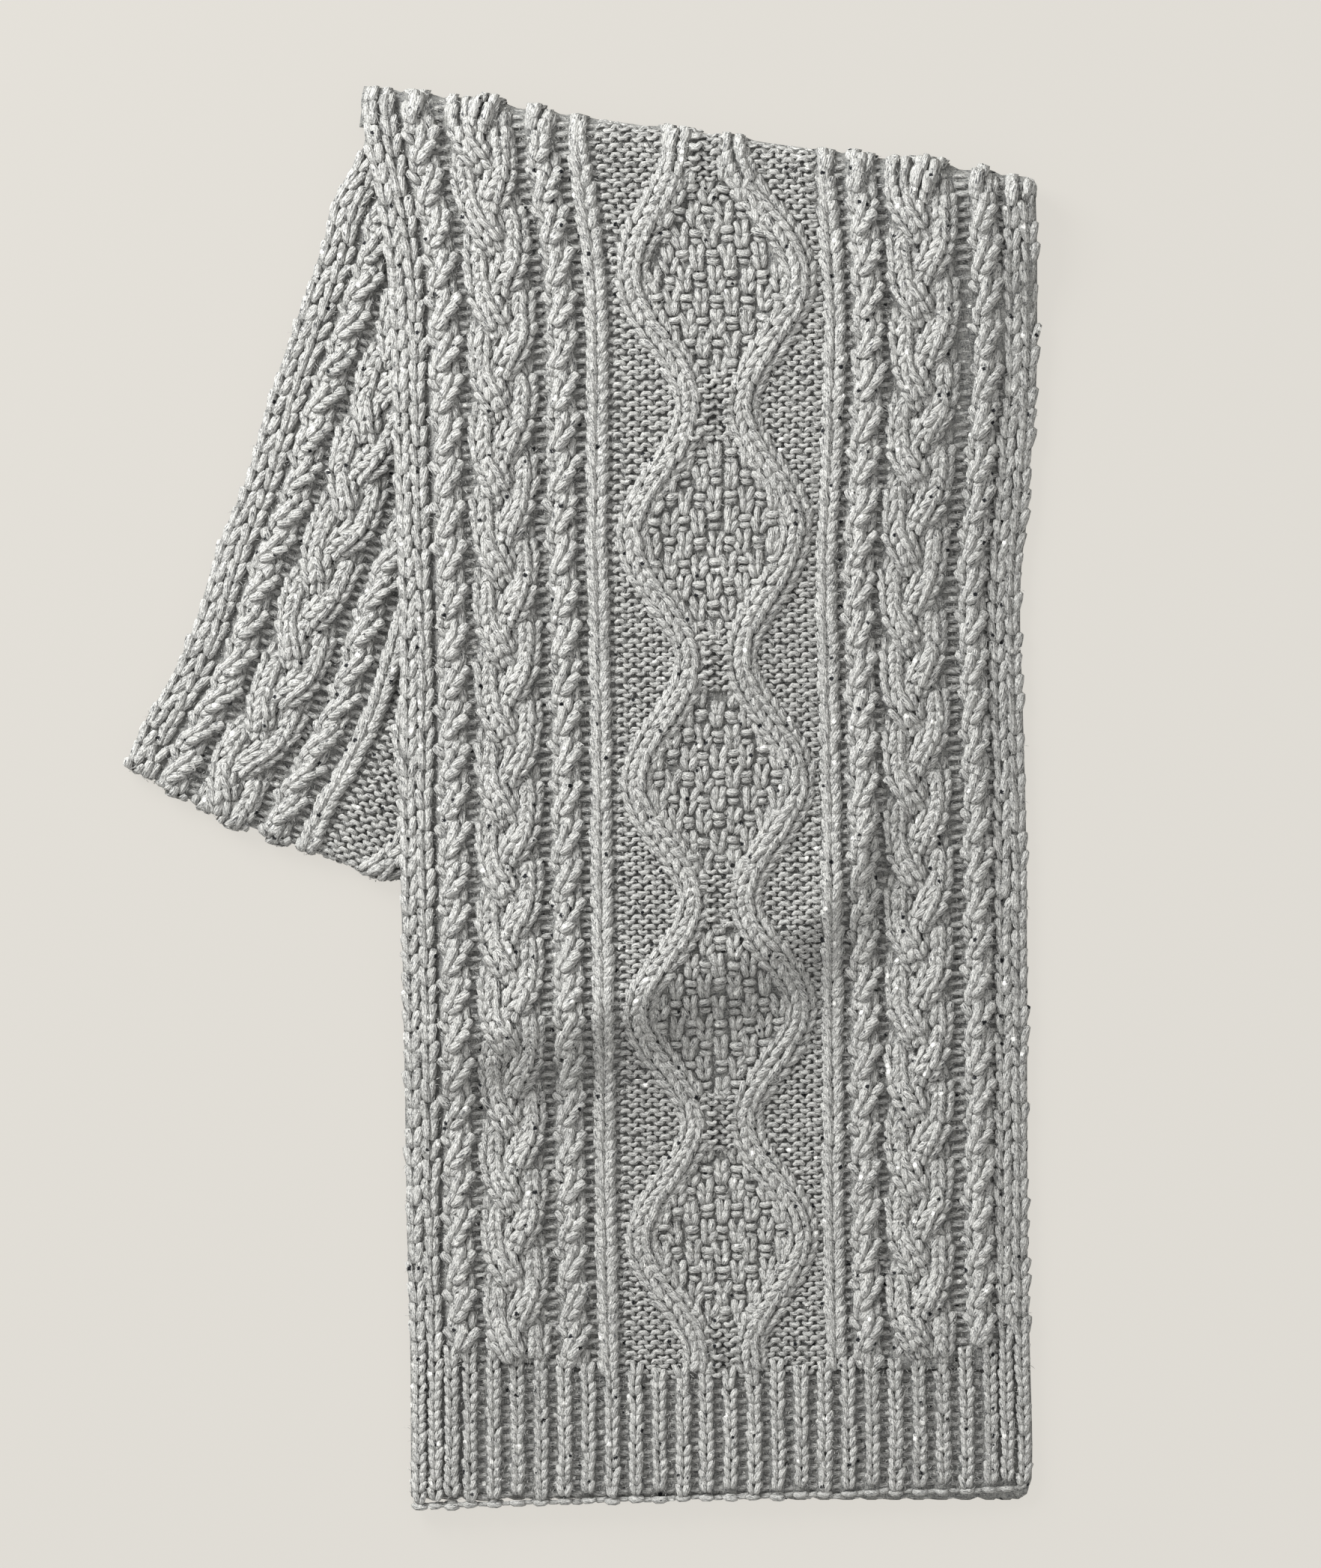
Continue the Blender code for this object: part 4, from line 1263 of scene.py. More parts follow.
    def material(self) -> bpy.types.Material:
        """The finish as a material."""
        made, tree, shader = new_material(self.name)
        pale, grey, dark, fleck = (linear(c) for c in (self.pale, self.grey, self.dark, self.fleck))
        along, on_object = self.coordinates(tree)
        long, wide = self.fibre_long, self.fibre_wide
        size = (long, wide, 1.0) if self.on_yarn else (wide, long, wide)
        fibre = self.grain(tree, along, size, 3.0, 1.1)
        strands = self.grain(tree, along, tuple(self.strand_size * side for side in size), 1.0, 0.6)
        clouds = self.grain(tree, on_object, self.cloud_size, 2.0)
        fuzz = self.grain(tree, on_object, self.fuzz_size, 3.0)
        lumps = self.grain(tree, on_object, self.lump_size, 1.0)
        flecks = self.grain(tree, along, self.fleck_size, 2.0, 0.9)
        colour = self.overlay(tree, dark, pale, fibre, (0.28, 0.56))
        colour = self.overlay(tree, colour, grey, strands, (0.48, 0.74))
        colour = self.overlay(tree, colour, dark, fuzz, (0.60, 0.40), 0.5)
        raised = [(fuzz, 1.5), (lumps, 1.6)]
        if self.on_yarn:
            plies = self.plies(tree, along, strands)
            # Painted shade: the grooves between the plies are darkened towards the charcoal fleck colour,
            # on top of their bump relief.
            colour = self.overlay(tree, colour, fleck, plies, (0.0, -1.0), 0.26)
            raised.append((plies, 0.75))
        colour = self.overlay(tree, colour, dark, clouds, (0.75, 0.25), 0.16)
        colour = self.overlay(tree, colour, fleck, flecks, (0.56, 0.64), 0.9)
        colour = self.neps(tree, colour, linear(self.nep), on_object, self.dark_neps)
        colour = self.neps(tree, colour, linear(self.pale_nep), on_object, self.pale_neps)
        height = fibre
        for pattern, much in raised:
            inputs = {0: pattern, 1: much, 2: height}
            height = add_node(tree, "ShaderNodeMath", inputs, operation="MULTIPLY_ADD").outputs[0]
        bump = add_node(
            tree, "ShaderNodeBump",
            {"Strength": self.relief, "Distance": self.relief_depth * MM, "Height": height},
        )
        wire(tree, shader, {
            "Base Color": colour,
            "Normal": bump.outputs[0],
            "Roughness": self.roughness,
            "Specular IOR Level": 0.0,
            "Subsurface Weight": self.glow_through,
            "Subsurface Radius": (1.0, 1.0, 1.0),
            "Subsurface Scale": self.glow_depth * MM,
        })
        return made


@dataclass(frozen=True)
class BackdropPaper:
    """Smooth backdrop paper with a fine tooth: it gives the eye a pale, even, matt ground."""

    colour: str = "#343331"
    glow: float = 19.6  # it is lit a little from beneath, which keeps shadows on it faint
    tooth_scale: float = 700.0  # grains to a metre
    tooth_depth: float = 0.2  # mm
    relief: float = 0.05
    roughness: float = 0.9

    def material(self) -> bpy.types.Material:
        """The finish as a material."""
        made, tree, shader = new_material("backdrop_paper")
        place = add_node(tree, "ShaderNodeTexCoord", {})
        tooth = add_node(
            tree, "ShaderNodeTexNoise", {"Vector": place.outputs["Object"], "Scale": self.tooth_scale}
        )
        bump = add_node(
            tree, "ShaderNodeBump",
            {"Strength": self.relief, "Distance": self.tooth_depth * MM, "Height": tooth.outputs["Fac"]},
        )
        wire(tree, shader, {
            "Base Color": linear(self.colour),
            "Normal": bump.outputs[0],
            "Roughness": self.roughness,
            "Specular IOR Level": 0.0,
            "Emission Color": linear(self.colour),
            "Emission Strength": self.glow,
        })
        return made


# Meshes.


@dataclass(frozen=True)
class YarnShape:
    """The plump form of a length of yarn: a tip, four rings of five points, and a tip."""

    sides: int = 5
    stops: tuple[float, ...] = (0.07, 0.30, 0.68, 0.93)
    plump: tuple[float, ...] = (0.66, 1.0, 1.0, 0.82)
    ruffle: float = 0.1  # how far each point strays

    def faces(self) -> list[tuple[int, ...]]:
        """The faces of one length, by the numbers of its points, facing outwards."""
        rings = len(self.stops)
        tail = 1 + rings * self.sides
        made: list[tuple[int, ...]] = []
        for k in range(self.sides):
            after = (k + 1) % self.sides
            made.append((0, 1 + k, 1 + after))
            last = 1 + (rings - 1) * self.sides
            made.append((tail, last + after, last + k))
            for ring in range(rings - 1):
                low = 1 + ring * self.sides
                high = low + self.sides
                made.append((low + k, high + k, high + after, low + after))
        return made

    def points(
        self, yarns: Yarns, rng: np.random.Generator
    ) -> tuple[Array, Array, Array, Array]:
        """Points on the cloth for each length.

        Args:
            yarns: The lengths of yarn.
            rng: Draws how far each point strays.

        Returns:
            Distances across, rows and heights, and each point's (along, around) in mm.
        """
        stops = np.array((0.0, *self.stops, 1.0))[:, None]
        plump = np.array((0.0, *self.plump, 0.0))[:, None]
        each = Yarns(*[getattr(yarns, f.name)[:, None, None] for f in fields(yarns)])
        x = 4 * each.bow * stops * (1 - stops)
        y = each.length * stops
        dx = 4 * each.bow * (1 - 2 * stops)
        long = np.hypot(dx, each.length)
        end = np.where(stops < 0.5, each.foot, each.head)
        middle = end + (each.crown - end) * np.sin(np.pi * stops)
        angles = np.pi / 2 + 2 * np.pi * np.arange(self.sides) / self.sides
        aside = plump * np.cos(angles) * each.wide
        px = x + each.length / long * aside
        py = y - dx / long * aside
        up = middle + plump * np.sin(angles) * each.thick
        sin, cos = np.sin(each.heading), np.cos(each.heading)
        across = each.across + px * cos + py * sin
        row = each.row + (py * cos - px * sin) / ROW_HEIGHT
        count, keep = len(yarns.across), self.kept_points()
        across, row, up = (grid.reshape(count, -1)[:, keep] for grid in (across, row, up))
        across = across + rng.normal(0, self.ruffle, across.shape)
        up = up + rng.normal(0, self.ruffle, up.shape)
        return across, row, up, self.yarn_map(yarns)

    def kept_points(self) -> Array:
        """The numbers of the points used: one at each tip, and all of each ring."""
        rings = len(self.stops)
        return np.r_[0, self.sides : (rings + 1) * self.sides, (rings + 1) * self.sides]

    def yarn_map(self, yarns: Yarns) -> Array:
        """(along, around) for each corner of each face, in centimetres."""
        rings = len(self.stops)
        stops = (0.0, *self.stops, 1.0)
        corners = []  # shares of the length and of the way around
        for face in self.faces():
            ks = [(p - 1) % self.sides for p in face if 0 < p <= rings * self.sides]
            seam = self.sides - 1 in ks and 0 in ks
            for p in face:
                tip = p in (0, 1 + rings * self.sides)
                ring = 0 if p == 0 else rings + 1 if tip else 1 + (p - 1) // self.sides
                k = max(ks) - 0.5 if tip else (p - 1) % self.sides
                k = self.sides if seam and not tip and k == 0 else k
                corners.append((stops[ring], k / self.sides))
        share = np.array(corners)
        girth = np.pi * (yarns.wide + yarns.thick)
        along = yarns.length[:, None] * share[:, 0]
        around = girth[:, None] * share[:, 1]
        return np.stack([along, around], -1) / CM


FIBRE = YarnShape(sides=3, stops=(0.5,), plump=(1.0,), ruffle=0.0)


def object_from(
    name: str, points: Array, corners: Array, sizes: Array, finish: MarlWool
) -> bpy.types.Object:
    """A smooth object from arrays.

    Args:
        name: The object's name.
        points: Its points, in metres.
        corners: The point at each corner of each face, one after another.
        sizes: How many corners each face has.
        finish: What it is made of.

    Returns:
        The object, at the origin.
    """
    mesh = bpy.data.meshes.new(name)
    mesh.vertices.add(len(points))
    mesh.vertices.foreach_set("co", points.astype(np.float32).ravel())
    mesh.loops.add(len(corners))
    mesh.loops.foreach_set("vertex_index", corners.astype(np.int32))
    mesh.polygons.add(len(sizes))
    starts = np.concatenate([[0], np.cumsum(sizes)[:-1]]).astype(np.int32)
    mesh.polygons.foreach_set("loop_start", starts)
    mesh.update(calc_edges=True)
    mesh.validate()
    mesh.shade_smooth()
    mesh.materials.append(finish.material())
    made = bpy.data.objects.new(name, mesh)
    bpy.context.scene.collection.objects.link(made)
    return made


@dataclass
class StitchWorks:
    """Makes joined meshes of stitches on the cloth."""

    finish: MarlWool
    rng: np.random.Generator
    fibre_lean: float = 0.75  # radians from the way of the strip
    fibre_length: tuple[float, float] = (1.8, 4.0)
    fibre_bow: float = 0.45
    fibre_wide: tuple[float, float] = (0.10, 0.17)  # half of it, and coarser than real
    fibre_thick: float = 0.12
    fibre_root: float = 0.3  # how deep in the work it starts
    fibre_crown: tuple[float, float] = (0.0, 0.6)  # how far its middle stands out
    fibre_tip: tuple[float, float] = (-0.5, 0.6)

    def make(
        self, name: str, parts: Sequence[tuple[Yarns, Lay]], shape: YarnShape = YarnShape()
    ) -> bpy.types.Object:
        """One piece from lots of yarn, each laid on its own stretch.

        Args:
            name: The piece's name.
            parts: Lots of yarn, each with where its cloth lies.
            shape: The form of each length.

        Returns:
            The piece, riding on the root.
        """
        places, maps = [], []
        for yarns, lay in parts:
            yarns = yarns.uneven(self.rng)
            across, row, up, yarn_map = shape.points(yarns, self.rng)
            placed = lay.place(across.ravel(), row.ravel(), up.ravel())
            places.append(placed.reshape(*across.shape, 3))
            maps.append(yarn_map)
        points, yarn_map = np.concatenate(places), np.concatenate(maps)
        count, each = points.shape[:2]
        faces = shape.faces()
        pattern = np.array([p for face in faces for p in face])
        corners = (np.arange(count)[:, None] * each + pattern).ravel()
        sizes = np.tile([len(face) for face in faces], count)
        piece = object_from(name, points.reshape(-1, 3), corners, sizes, self.finish)
        layer = piece.data.uv_layers.new(name=YARN_MAP)
        layer.data.foreach_set("uv", yarn_map.astype(np.float32).ravel())
        tone = piece.data.attributes.new(TONE, "FLOAT", "POINT")
        drawn = np.repeat(self.rng.random(count), each)
        tone.data.foreach_set("value", drawn.astype(np.float32))
        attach(piece, "root")
        triangles = count * sum(len(face) - 2 for face in faces)
        log.info("%s: %d lengths of yarn, %d triangles", name, count, triangles)
        return piece

    def fuzz(self, chart: Chart, across: Array, row: Array) -> Yarns:
        """Stray fibres that stand a little out of the wool.

        Args:
            chart: The pattern, for the height of the work.
            across: Where each fibre starts.
            row: The row at which it starts.

        Returns:
            One fine curved fibre for each place.
        """
        rng, count = self.rng, len(across)
        level = chart.rise(across, row)
        return Yarns.lay(
            across=across,
            row=row,
            heading=rng.normal(0, self.fibre_lean, count) + np.pi * rng.integers(0, 2, count),
            length=rng.uniform(*self.fibre_length, count),
            bow=rng.normal(0, self.fibre_bow, count),
            wide=rng.uniform(*self.fibre_wide, count),
            thick=self.fibre_thick,
            foot=level - self.fibre_root,
            crown=level + rng.uniform(*self.fibre_crown, count),
            head=level + rng.uniform(*self.fibre_tip, count),
        )


def end_cap(ring: Array) -> Array:
    """Faces that close the end of a shell, from the numbers of the points around it."""
    face, inside = np.split(ring, 2)
    inside = inside[::-1]
    return np.stack([face[:-1], inside[:-1], inside[1:], face[1:]], -1)


def make_shell(name: str, face: Array, inside: Array, finish: MarlWool) -> bpy.types.Object:
    """A closed thin shell of cloth.

    Args:
        name: The piece's name.
        face: Points of its face, as (station, place across, 3), in metres.
        inside: The points of its inside, in the same order.
        finish: What it is made of.

    Returns:
        The piece, facing outwards.
    """
    around = np.concatenate([face, inside[:, ::-1]], 1)
    grid = np.arange(around.shape[0] * around.shape[1]).reshape(around.shape[:2])
    low, high = grid[:-1], grid[1:]
    sides = np.stack([low, np.roll(low, -1, 1), np.roll(high, -1, 1), high], -1).reshape(-1, 4)
    quads = np.concatenate([sides, end_cap(grid[0]), end_cap(grid[-1])[:, ::-1]])
    sizes = np.full(len(quads), 4)
    return object_from(name, around.reshape(-1, 3), quads.ravel(), sizes, finish)


def stand_in(piece: bpy.types.Object, node: str) -> bpy.types.Object:
    """Puts a piece in the place of a solid, which it hides, and makes the piece ride on the root."""
    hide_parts(node)
    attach(piece, "root")
    return piece


def lay_shell(
    name: str, node: str, lay: Lay, across: Array, rows: Array, heights: tuple[Array, Array],
    finish: MarlWool,
) -> bpy.types.Object:
    """A thin shell of cloth laid where a stretch lies, in the place of its solid.

    Args:
        name: The piece's name.
        node: The solid's name.
        lay: Where the stretch lies.
        across: Distances across, the same at each station.
        rows: The row of each point, as (station, place across).
        heights: Heights of its face and of its inside, each as rows.
        finish: What it is made of.

    Returns:
        The piece, riding on the root.
    """
    places = np.broadcast_to(across, rows.shape)
    face, inside = (
        lay.place(places.ravel(), rows.ravel(), up.ravel()).reshape(*rows.shape, 3) for up in heights
    )
    return stand_in(make_shell(name, face, inside, finish), node)


# The pieces of the scarf.

SHELL_BELOW = 1.9  # how far under the work a shell's face lies
SHELL_INSIDE = -WALL + 0.1
EDGE_LEG = Leg(4.4)  # of the stitches down the edge of a layer
EDGE_RISE = 0.6


class Fade(NamedTuple):
    """A change that comes on over a few rows, counted from where the top fold's roll starts."""

    start: float
    end: float
    full: float

    def at(self, over: Array) -> Array:
        """How much of it there is, this many rows past the start of the roll."""
        return self.full * smooth(self.start, self.end, over)


@dataclass
class FrontStretch:
    """The cabled front stretch, from its seam above the ribs to the lip under the top fold."""

    lay: FrontLay
    chart: Chart = Chart()
    columns: int = 111
    steps: int = 150
    roll_steps: int = 12
    below: float = SHELL_BELOW
    moss_below: float = 0.2  # how much deeper it lies under the moss
    lowest_row: float = -3.0
    stitches_round: float = 4.0  # rows of stitches round the top fold
    straightened: Fade = Fade(-3.0, -0.3, 0.9)  # legs turn to run straight along the strip
    steepest_leg: float = 1.3  # radians, past which a length of yarn is a bar and stays as it is
    thinned: Fade = Fade(-1.5, 1.0, 0.3)
    sunk: Fade = Fade(0.3, 3.5, 2.0)
    fibres: int = 30000
    lowest_fibre: float = -14.0  # row
    fibres_round: float = 0.8  # rows of them round the top fold
    zones: tuple[float, ...] = (0.0, 80.0, 167.0, 250.0)

    def cloth(self, finish: MarlWool) -> bpy.types.Object:
        """The shell under the stitches."""
        across = np.linspace(0.0, STRIP_WIDTH, self.columns)
        seam, fold = self.lay.seam_row(across), self.lay.fold_row(across)
        flat = [seam + (fold - seam) * i / self.steps for i in range(self.steps + 1)]
        turn = math.pi * self.lay.roll_radius / ROW_HEIGHT
        roll = [fold + turn * (i + 1) / self.roll_steps for i in range(self.roll_steps)]
        lip = [fold + turn + self.lay.fold_lip / ROW_HEIGHT * i / 2 for i in (1, 2)]
        rows = np.array(flat + roll + lip)
        fade = 1 - smooth(0.0, turn * 0.9, rows - fold)
        in_moss = np.abs(across - DIAMOND_CENTRE) < self.chart.reach(rows) - LINE_HALF
        up = self.chart.rise(across, rows) * fade
        up = up - self.below * (0.4 + 0.6 * fade) - self.moss_below * in_moss
        swell = (LAYER - WALL) * smooth(0.15 * turn, turn, rows - fold)
        deep = SHELL_INSIDE - swell
        return lay_shell("front_cloth", "front_panel", self.lay, across, rows, (up, deep), finish)

    def past_fold(self, yarns: Yarns) -> Array:
        """How many rows each length's middle lies past the start of the top fold's roll."""
        across, row = yarns.middle()
        return row - self.lay.fold_row(across)

    def stitches(self, works: StitchWorks) -> list[bpy.types.Object]:
        """The stitches of the left cables, the lattice and the right cables."""
        top = float(self.lay.fold_row(np.array([STRIP_WIDTH / 2]))[0])
        stitches = Stitches(self.chart, self.lowest_row, top + 12, hem_tops=True)
        made = []
        for name, low, high in zip(("left", "middle", "right"), self.zones, self.zones[1:]):
            yarns = stitches.between(low, high)
            yarns = yarns.kept(self.past_fold(yarns) < self.stitches_round)
            over = self.past_fold(yarns)
            is_leg = np.abs(yarns.heading) < self.steepest_leg
            yarns.heading *= 1 - self.straightened.at(over) * is_leg
            yarns.thick *= 1 - self.thinned.at(over)
            for height in (yarns.foot, yarns.crown, yarns.head):
                height -= self.sunk.at(over)
            made.append(works.make(f"front_{name}_stitches", [(yarns, self.lay)]))
        return made

    def fuzz(self, works: StitchWorks) -> bpy.types.Object:
        """Stray fibres all over, from the hem to the top fold."""
        rng = works.rng
        across = rng.uniform(0.6, STRIP_WIDTH - 1.2, self.fibres)
        row = rng.uniform(self.lowest_fibre, self.lay.fold_row(across) + self.fibres_round)
        fibres = works.fuzz(self.chart, across, row)
        return works.make("front_fuzz", [(fibres, self.lay)], FIBRE)


@dataclass
class RibbedHem:
    """The ribbed end of the front stretch, knitted in one with it."""

    lay: FrontLay
    side_wales: tuple[float, ...] = (3.4, 10.0, 16.6)
    first_rib: float = 24.0
    pitch: float = 9.51
    ribs: int = 22
    first_row: float = -14.3
    columns: int = 181
    steps: int = 16
    rise: float = 2.0
    cloth_rise: float = 0.8  # the shell's, as a share of that
    wale_half: float = 3.4
    wide_gap: float = 7.5  # columns closer than this have no purl bars between them
    below: float = SHELL_BELOW
    cloth_start: float = 0.003  # as a share of the stretch's length
    leg: Leg = Leg(5.5, reach=1.5, foot=0.09, head=0.39, plump=0.26, thick=0.95, sink=1.1)

    def wales(self) -> Array:
        """Distances across of its knit columns."""
        ribs = [self.first_rib + self.pitch * i for i in range(self.ribs)]
        right = [STRIP_WIDTH - wale for wale in reversed(self.side_wales)]
        return np.array([*self.side_wales, *ribs, *right])

    def cloth(self, finish: MarlWool) -> bpy.types.Object:
        """The shell under the ribs."""
        across = np.linspace(0.0, STRIP_WIDTH, self.columns)
        start = self.lay.row_at(across, np.full_like(across, self.cloth_start))
        seam = self.lay.seam_row(across) - GAP / ROW_HEIGHT
        rows = np.array([start + (seam - start) * i / self.steps for i in range(self.steps + 1)])
        nearest = np.abs(across[:, None] - self.wales()).min(-1)
        rib = self.cloth_rise * self.rise * dome(np.minimum(nearest / self.wale_half, 1.0))
        up = np.broadcast_to(rib - self.below, rows.shape).copy()
        up[0] = -self.below
        deep = np.full_like(up, SHELL_INSIDE)
        return lay_shell(
            "front_hem_cloth", "front_ribbed_hem", self.lay, across, rows, (up, deep), finish
        )

    def ribbing(self, chart: Chart) -> Yarns:
        """Knit columns up to the pattern, with purl bars between them."""
        parts = []
        wales = self.wales()
        tops = np.interp(wales, *zip(*HEM_TOPS))
        for i, (wale, top) in enumerate(zip(wales, tops)):
            rows = np.arange(self.first_row + 0.3 * (i % 3), top + 0.6)
            parts.append(knit(chart, Upright(wale), rows, self.leg, up=self.rise))
        for one, other, top in zip(wales, wales[1:], tops):
            if other - one < self.wide_gap:
                continue
            rows = np.arange(self.first_row + 0.5, top + 0.3)
            places = np.full_like(rows, (one + other) / 2)
            crown = np.full_like(rows, -1.7)
            parts.append(bars(places, rows, crown, Bar(other - one - 2.6, -0.5, 1.3, 0.95)))
        return Yarns.joined(parts)

    def cast_on(self) -> Yarns:
        """The rounded loops of the cast-on edge."""
        wales = self.wales()
        between = (wales[:-1] + wales[1:]) / 2
        low = np.full_like(wales, self.first_row - 0.1)
        return Yarns.joined(
            [
                bars(wales, low, np.full_like(wales, 0.3), Bar(6.4, 0.7, 1.35, 1.3)),
                bars(between, low[:-1], np.full_like(between, -0.9), Bar(5.4, 0.5, 1.1, 1.1)),
                bars(wales, low, np.full_like(wales, -1.6), Bar(6.4, 0.4, 1.2, 1.2)),
            ]
        )

    def stitches(self, works: StitchWorks, chart: Chart) -> bpy.types.Object:
        """The ribbing and its cast-on edge."""
        yarns = Yarns.joined([self.ribbing(chart), self.cast_on()])
        return works.make("front_hem_stitches", [(yarns, self.lay)])


@dataclass
class BackStretch:
    """The corner of the back stretch that swings out to the left, with its end fold."""

    lay: BackLay
    chart: Chart = Chart(plait_shift=4.0)
    columns: int = 49
    steps: int = 80
    roll_steps: int = 10
    below: float = SHELL_BELOW
    fibres: int = 6000
    last_row: float = 64.0  # for fibres
    fold_length: float = 8.0  # what the end fold adds to the length that shows

    def rows_to_cut(self, across: Array) -> Array:
        """The row at which the front stretch's edge covers each line."""
        return self.lay.first_row + self.lay.cut(across) / ROW_HEIGHT

    def cloth(self, finish: MarlWool) -> bpy.types.Object:
        """The shell under the stitches, round its end fold."""
        across = np.linspace(0.0, self.lay.shows, self.columns)
        start = self.lay.first_row + self.lay.start(across) / ROW_HEIGHT
        turn = math.pi * self.lay.roll_radius / ROW_HEIGHT
        low, high = start - turn, self.rows_to_cut(across)
        roll = [low + turn * i / self.roll_steps for i in range(self.roll_steps)]
        flat = [start + (high - start) * i / self.steps for i in range(self.steps + 1)]
        rows = np.array(roll + flat)
        round_it = smooth(0.0, turn, start - rows)
        up = (self.chart.rise(across, rows) - self.below) * (1 - round_it)
        deep = SHELL_INSIDE + 0.9 * smooth(0.0, 1.0, start - rows)
        return lay_shell("back_cloth", "back_panel", self.lay, across, rows, (up, deep), finish)

    def stitches(self, works: StitchWorks) -> bpy.types.Object:
        """The stitches that show, and those on the end fold down to the floor."""
        top = self.lay.first_row + self.lay.top / ROW_HEIGHT
        yarns = Stitches(self.chart, self.lay.first_row - 2.6, top).between(0.0, 120.0)
        across, row = yarns.middle()
        showing = row < self.rows_to_cut(across) + 0.9
        yarns = yarns.kept(showing & (across < self.lay.shows - 1))
        rows = Stitches(self.chart, self.lay.first_row + 1.5, top).rows(0.0)
        side = knit(self.chart, Upright(0.0), rows, EDGE_LEG, up=EDGE_RISE)
        return works.make(
            "back_stitches", [(yarns, self.lay), (side, BackSideLay(self.lay))]
        )

    def fuzz(self, works: StitchWorks) -> bpy.types.Object:
        """Stray fibres all over what shows."""
        across = works.rng.uniform(0.6, self.lay.shows, self.fibres)
        row = works.rng.uniform(self.lay.first_row - 1.0, self.last_row, self.fibres)
        open_air = row < self.rows_to_cut(across) + 0.5
        fibres = works.fuzz(self.chart, across[open_air], row[open_air])
        return works.make("back_fuzz", [(fibres, self.lay)], FIBRE)

    def flat_area(self) -> float:
        """The flat area of what shows, in square metres."""
        across = np.linspace(0.0, self.lay.shows, self.columns)
        return float(np.mean(self.lay.cut(across) + self.fold_length)) * self.lay.shows * MM * MM


@dataclass
class FoldedLayers:
    """The layers that don't show, as one rounded piece, with the second hem beneath."""

    front: FrontLay
    merge: float = 0.02  # mm
    smooth_angle: float = math.radians(60)
    first_row: float = -14.0  # of the stitches down its edges
    short_of_fold: float = 4.0  # rows
    first_loop: float = 3.4  # of the cast-on edge
    loop_pitch: float = 4.75

    def cloth(self, node: str, name: str, finish: MarlWool) -> bpy.types.Object:
        """A rounded copy of a solid, in cloth.

        Args:
            node: The solid's name.
            name: The piece's name.
            finish: What it is made of.

        Returns:
            The piece, riding on the root.
        """
        bpy.ops.object.select_all(action="DESELECT")
        mesh = frame["nodes"][node].data.copy()
        piece = bpy.data.objects.new(name, mesh)
        bpy.context.scene.collection.objects.link(piece)
        bpy.context.view_layer.objects.active = piece
        piece.select_set(True)
        bpy.ops.object.mode_set(mode="EDIT")
        bpy.ops.mesh.select_all(action="SELECT")
        bpy.ops.mesh.remove_doubles(threshold=self.merge * MM)
        bpy.ops.mesh.tris_convert_to_quads()
        bpy.ops.mesh.normals_make_consistent(inside=False)
        bpy.ops.object.mode_set(mode="OBJECT")
        bpy.ops.object.shade_smooth_by_angle(angle=self.smooth_angle)
        mesh.materials.clear()
        mesh.materials.append(finish.material())
        return stand_in(piece, node)

    def stitches(self, works: StitchWorks, chart: Chart) -> bpy.types.Object:
        """Knit columns down the edges of the layer beneath, and its cast-on edge."""
        parts = []
        for side in (-1, 1):
            at = np.array([0.0 if side < 0 else STRIP_WIDTH])
            rows = np.arange(self.first_row, float(self.front.fold_row(at)[0]) - self.short_of_fold)
            yarns = knit(chart, Upright(0.0), rows, EDGE_LEG, up=EDGE_RISE)
            parts.append((yarns, SideLay(self.front, side)))
        places = np.arange(self.first_loop, STRIP_WIDTH - 2, self.loop_pitch)
        row, crown = np.zeros_like(places), np.full_like(places, -1.5)
        loops = bars(places, row, crown, Bar(5.4, 0.3, 1.5, 1.2))
        parts.append((loops, HemEndLay(self.front, LAYER / 2)))
        return works.make("layer_edge_stitches", parts)


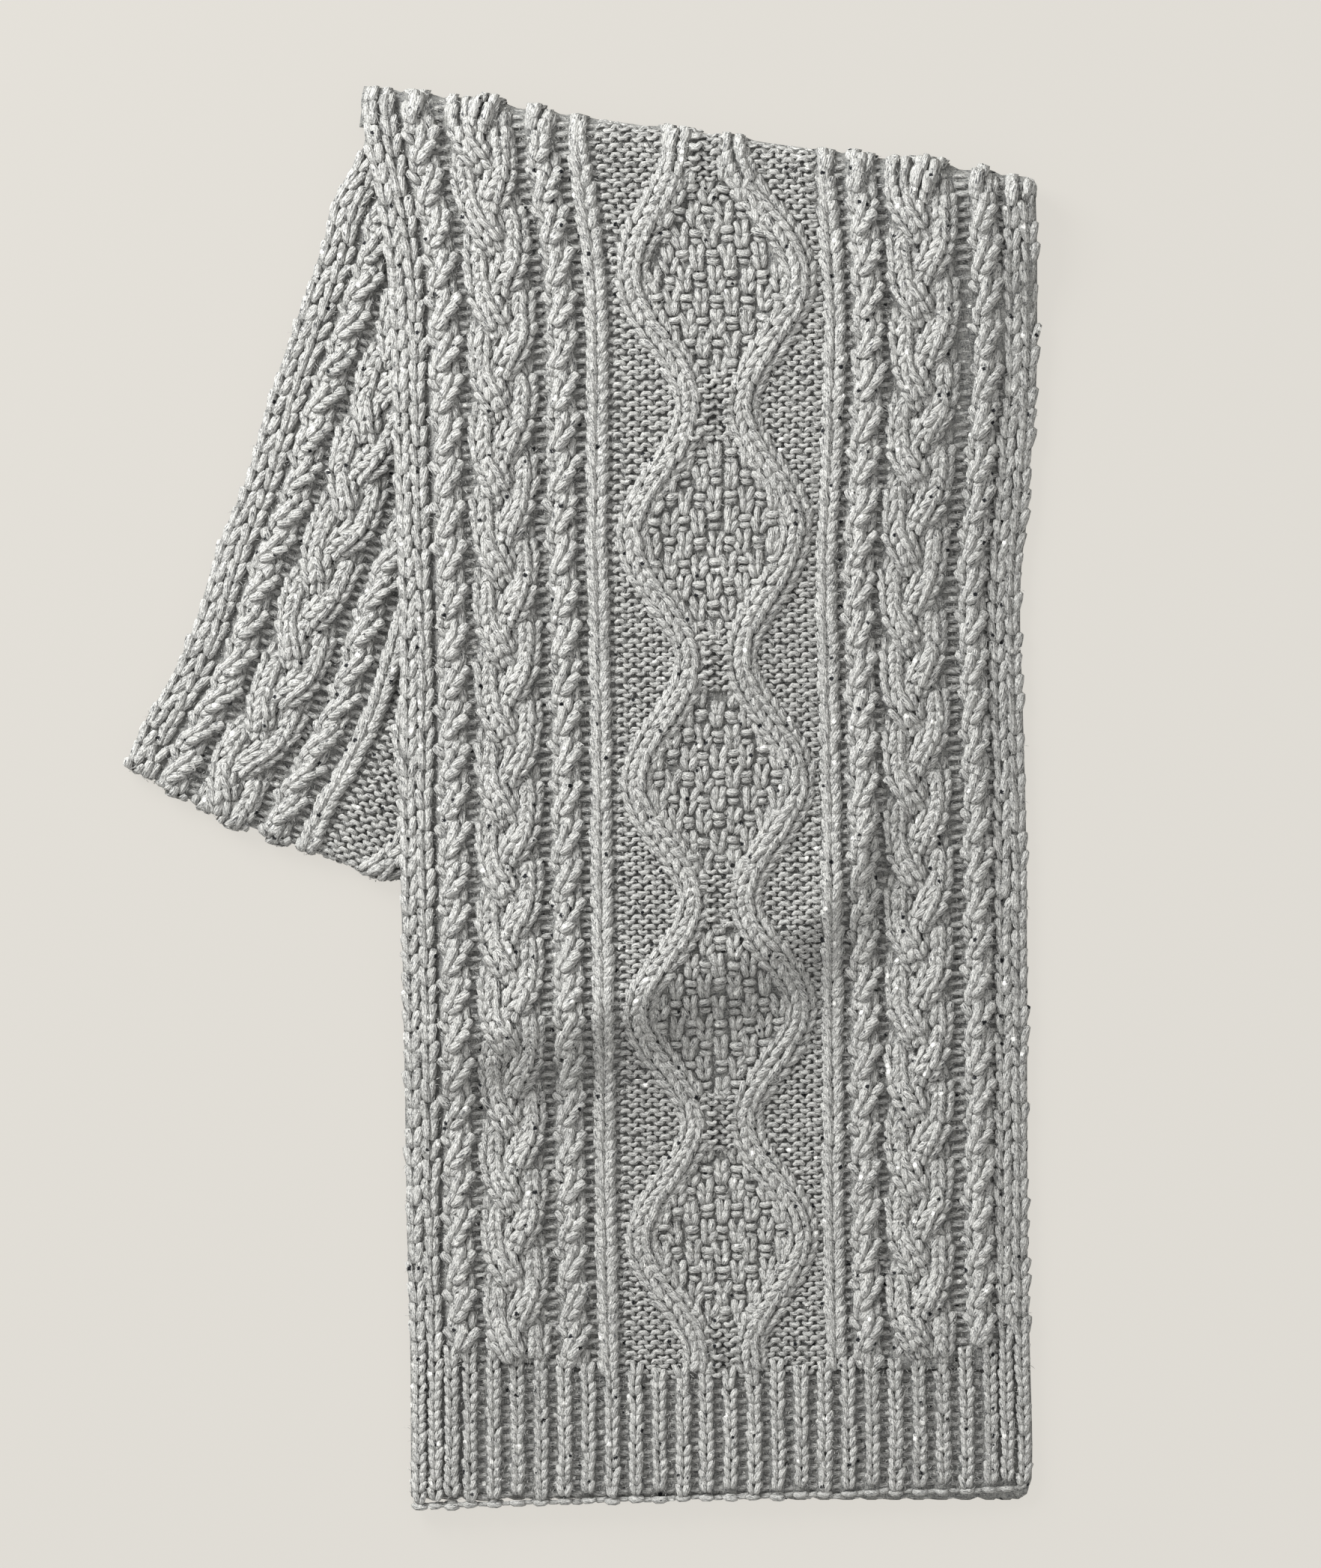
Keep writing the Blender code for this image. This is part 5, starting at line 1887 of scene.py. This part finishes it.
@dataclass
class Studio:
    """A pale floor, soft light from the upper left, and a camera that looks straight down.

    What the camera sees is in millimetres. Its height, the floor and the lamp are in metres.
    """

    centre_x: float = 31.95
    centre_y: float = 3.15
    frame_height: float = 628.2
    camera_up: float = 3.0
    cloth_up: float = 12.0
    sensor: float = 36.0
    floor_size: float = 6.0
    floor_drop: float = 0.05
    key_power: float = 80.0
    key_size: float = 1.1
    key_place: tuple[float, float, float] = (-1.1, 1.08, 0.95)
    sky: float = 1.16
    sky_colour: tuple[float, float, float, float] = (1.0, 0.99, 0.98, 1.0)  # linear

    def camera(self) -> None:
        """A long lens, straight above."""
        bpy.ops.object.camera_add(
            location=(self.centre_x * MM, self.centre_y * MM, self.camera_up + self.cloth_up * MM),
            rotation=(0.0, 0.0, 0.0),
        )
        made = bpy.context.object
        made.data.sensor_fit = "VERTICAL"
        made.data.sensor_height = self.sensor
        made.data.lens = self.sensor * self.camera_up / (self.frame_height * MM)
        bpy.context.scene.camera = made

    def floor(self) -> None:
        """A plain sheet of paper under the scarf."""
        bpy.ops.object.select_all(action="DESELECT")
        bpy.ops.mesh.primitive_plane_add(size=self.floor_size, location=(0.0, 0.0, -self.floor_drop * MM))
        made = bpy.context.object
        made.name = "floor"
        bpy.ops.object.transform_apply(location=True, rotation=True, scale=True)
        made.data.materials.append(BackdropPaper().material())

    def lights(self) -> None:
        """One broad lamp at the upper left, and an even glow from all round."""
        bpy.ops.object.light_add(type="AREA", location=self.key_place)
        lamp = bpy.context.object
        lamp.data.shape = "DISK"
        lamp.data.size = self.key_size
        lamp.data.energy = self.key_power
        x, y, z = self.key_place
        tilt, turn = math.atan2(math.hypot(x, y), z), math.atan2(y, x) + math.pi / 2
        lamp.rotation_euler = (tilt, 0.0, turn)
        world = bpy.data.worlds.new("studio_glow")
        world.use_nodes = True
        glow = world.node_tree.nodes["Background"]
        glow.inputs["Color"].default_value = self.sky_colour
        glow.inputs["Strength"].default_value = self.sky
        bpy.context.scene.world = world
        bpy.context.scene.view_settings.view_transform = "Standard"

    def build(self) -> None:
        """All of it."""
        self.camera()
        self.floor()
        self.lights()


def main() -> None:
    """Builds the studio and the scarf."""
    logging.basicConfig(level=logging.INFO, format="%(name)s: %(message)s")
    Studio().build()
    yarn = MarlWool("marl_wool_yarn")
    # The shells' wool is a darker copy of the yarn's: painted shade, so that the shells read as the
    # shadowed depths between the stitches.
    cloth = MarlWool("marl_wool_cloth_painted_shade", pale="#8E8E8A", grey="#747472", dark="#3E3F40", on_yarn=False)
    works = StitchWorks(yarn, rng=np.random.default_rng(SEED))

    lay = FrontLay()
    front, hem, back = FrontStretch(lay), RibbedHem(lay), BackStretch(lay.back)
    layers = FoldedLayers(lay)

    layer_cloth = layers.cloth("folded_layers", "folded_layers_cloth", cloth)
    under_hem = layers.cloth("under_ribbed_hem", "under_hem_cloth", cloth)
    edges = layers.stitches(works, front.chart)
    back_cloth = back.cloth(cloth)
    back_stitches = back.stitches(works)
    back_fuzz = back.fuzz(works)
    back.flat_area()
    hem_cloth = hem.cloth(cloth)
    hem_stitches = hem.stitches(works, front.chart)
    front_cloth = front.cloth(cloth)
    front_stitches = [*front.stitches(works), front.fuzz(works)]
    for piece in bpy.data.objects:
        if piece.type == "MESH" and "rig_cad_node" not in piece:
            log.info("%s: %d faces", piece.name, len(piece.data.polygons))


if __name__ == "__main__":
    main()
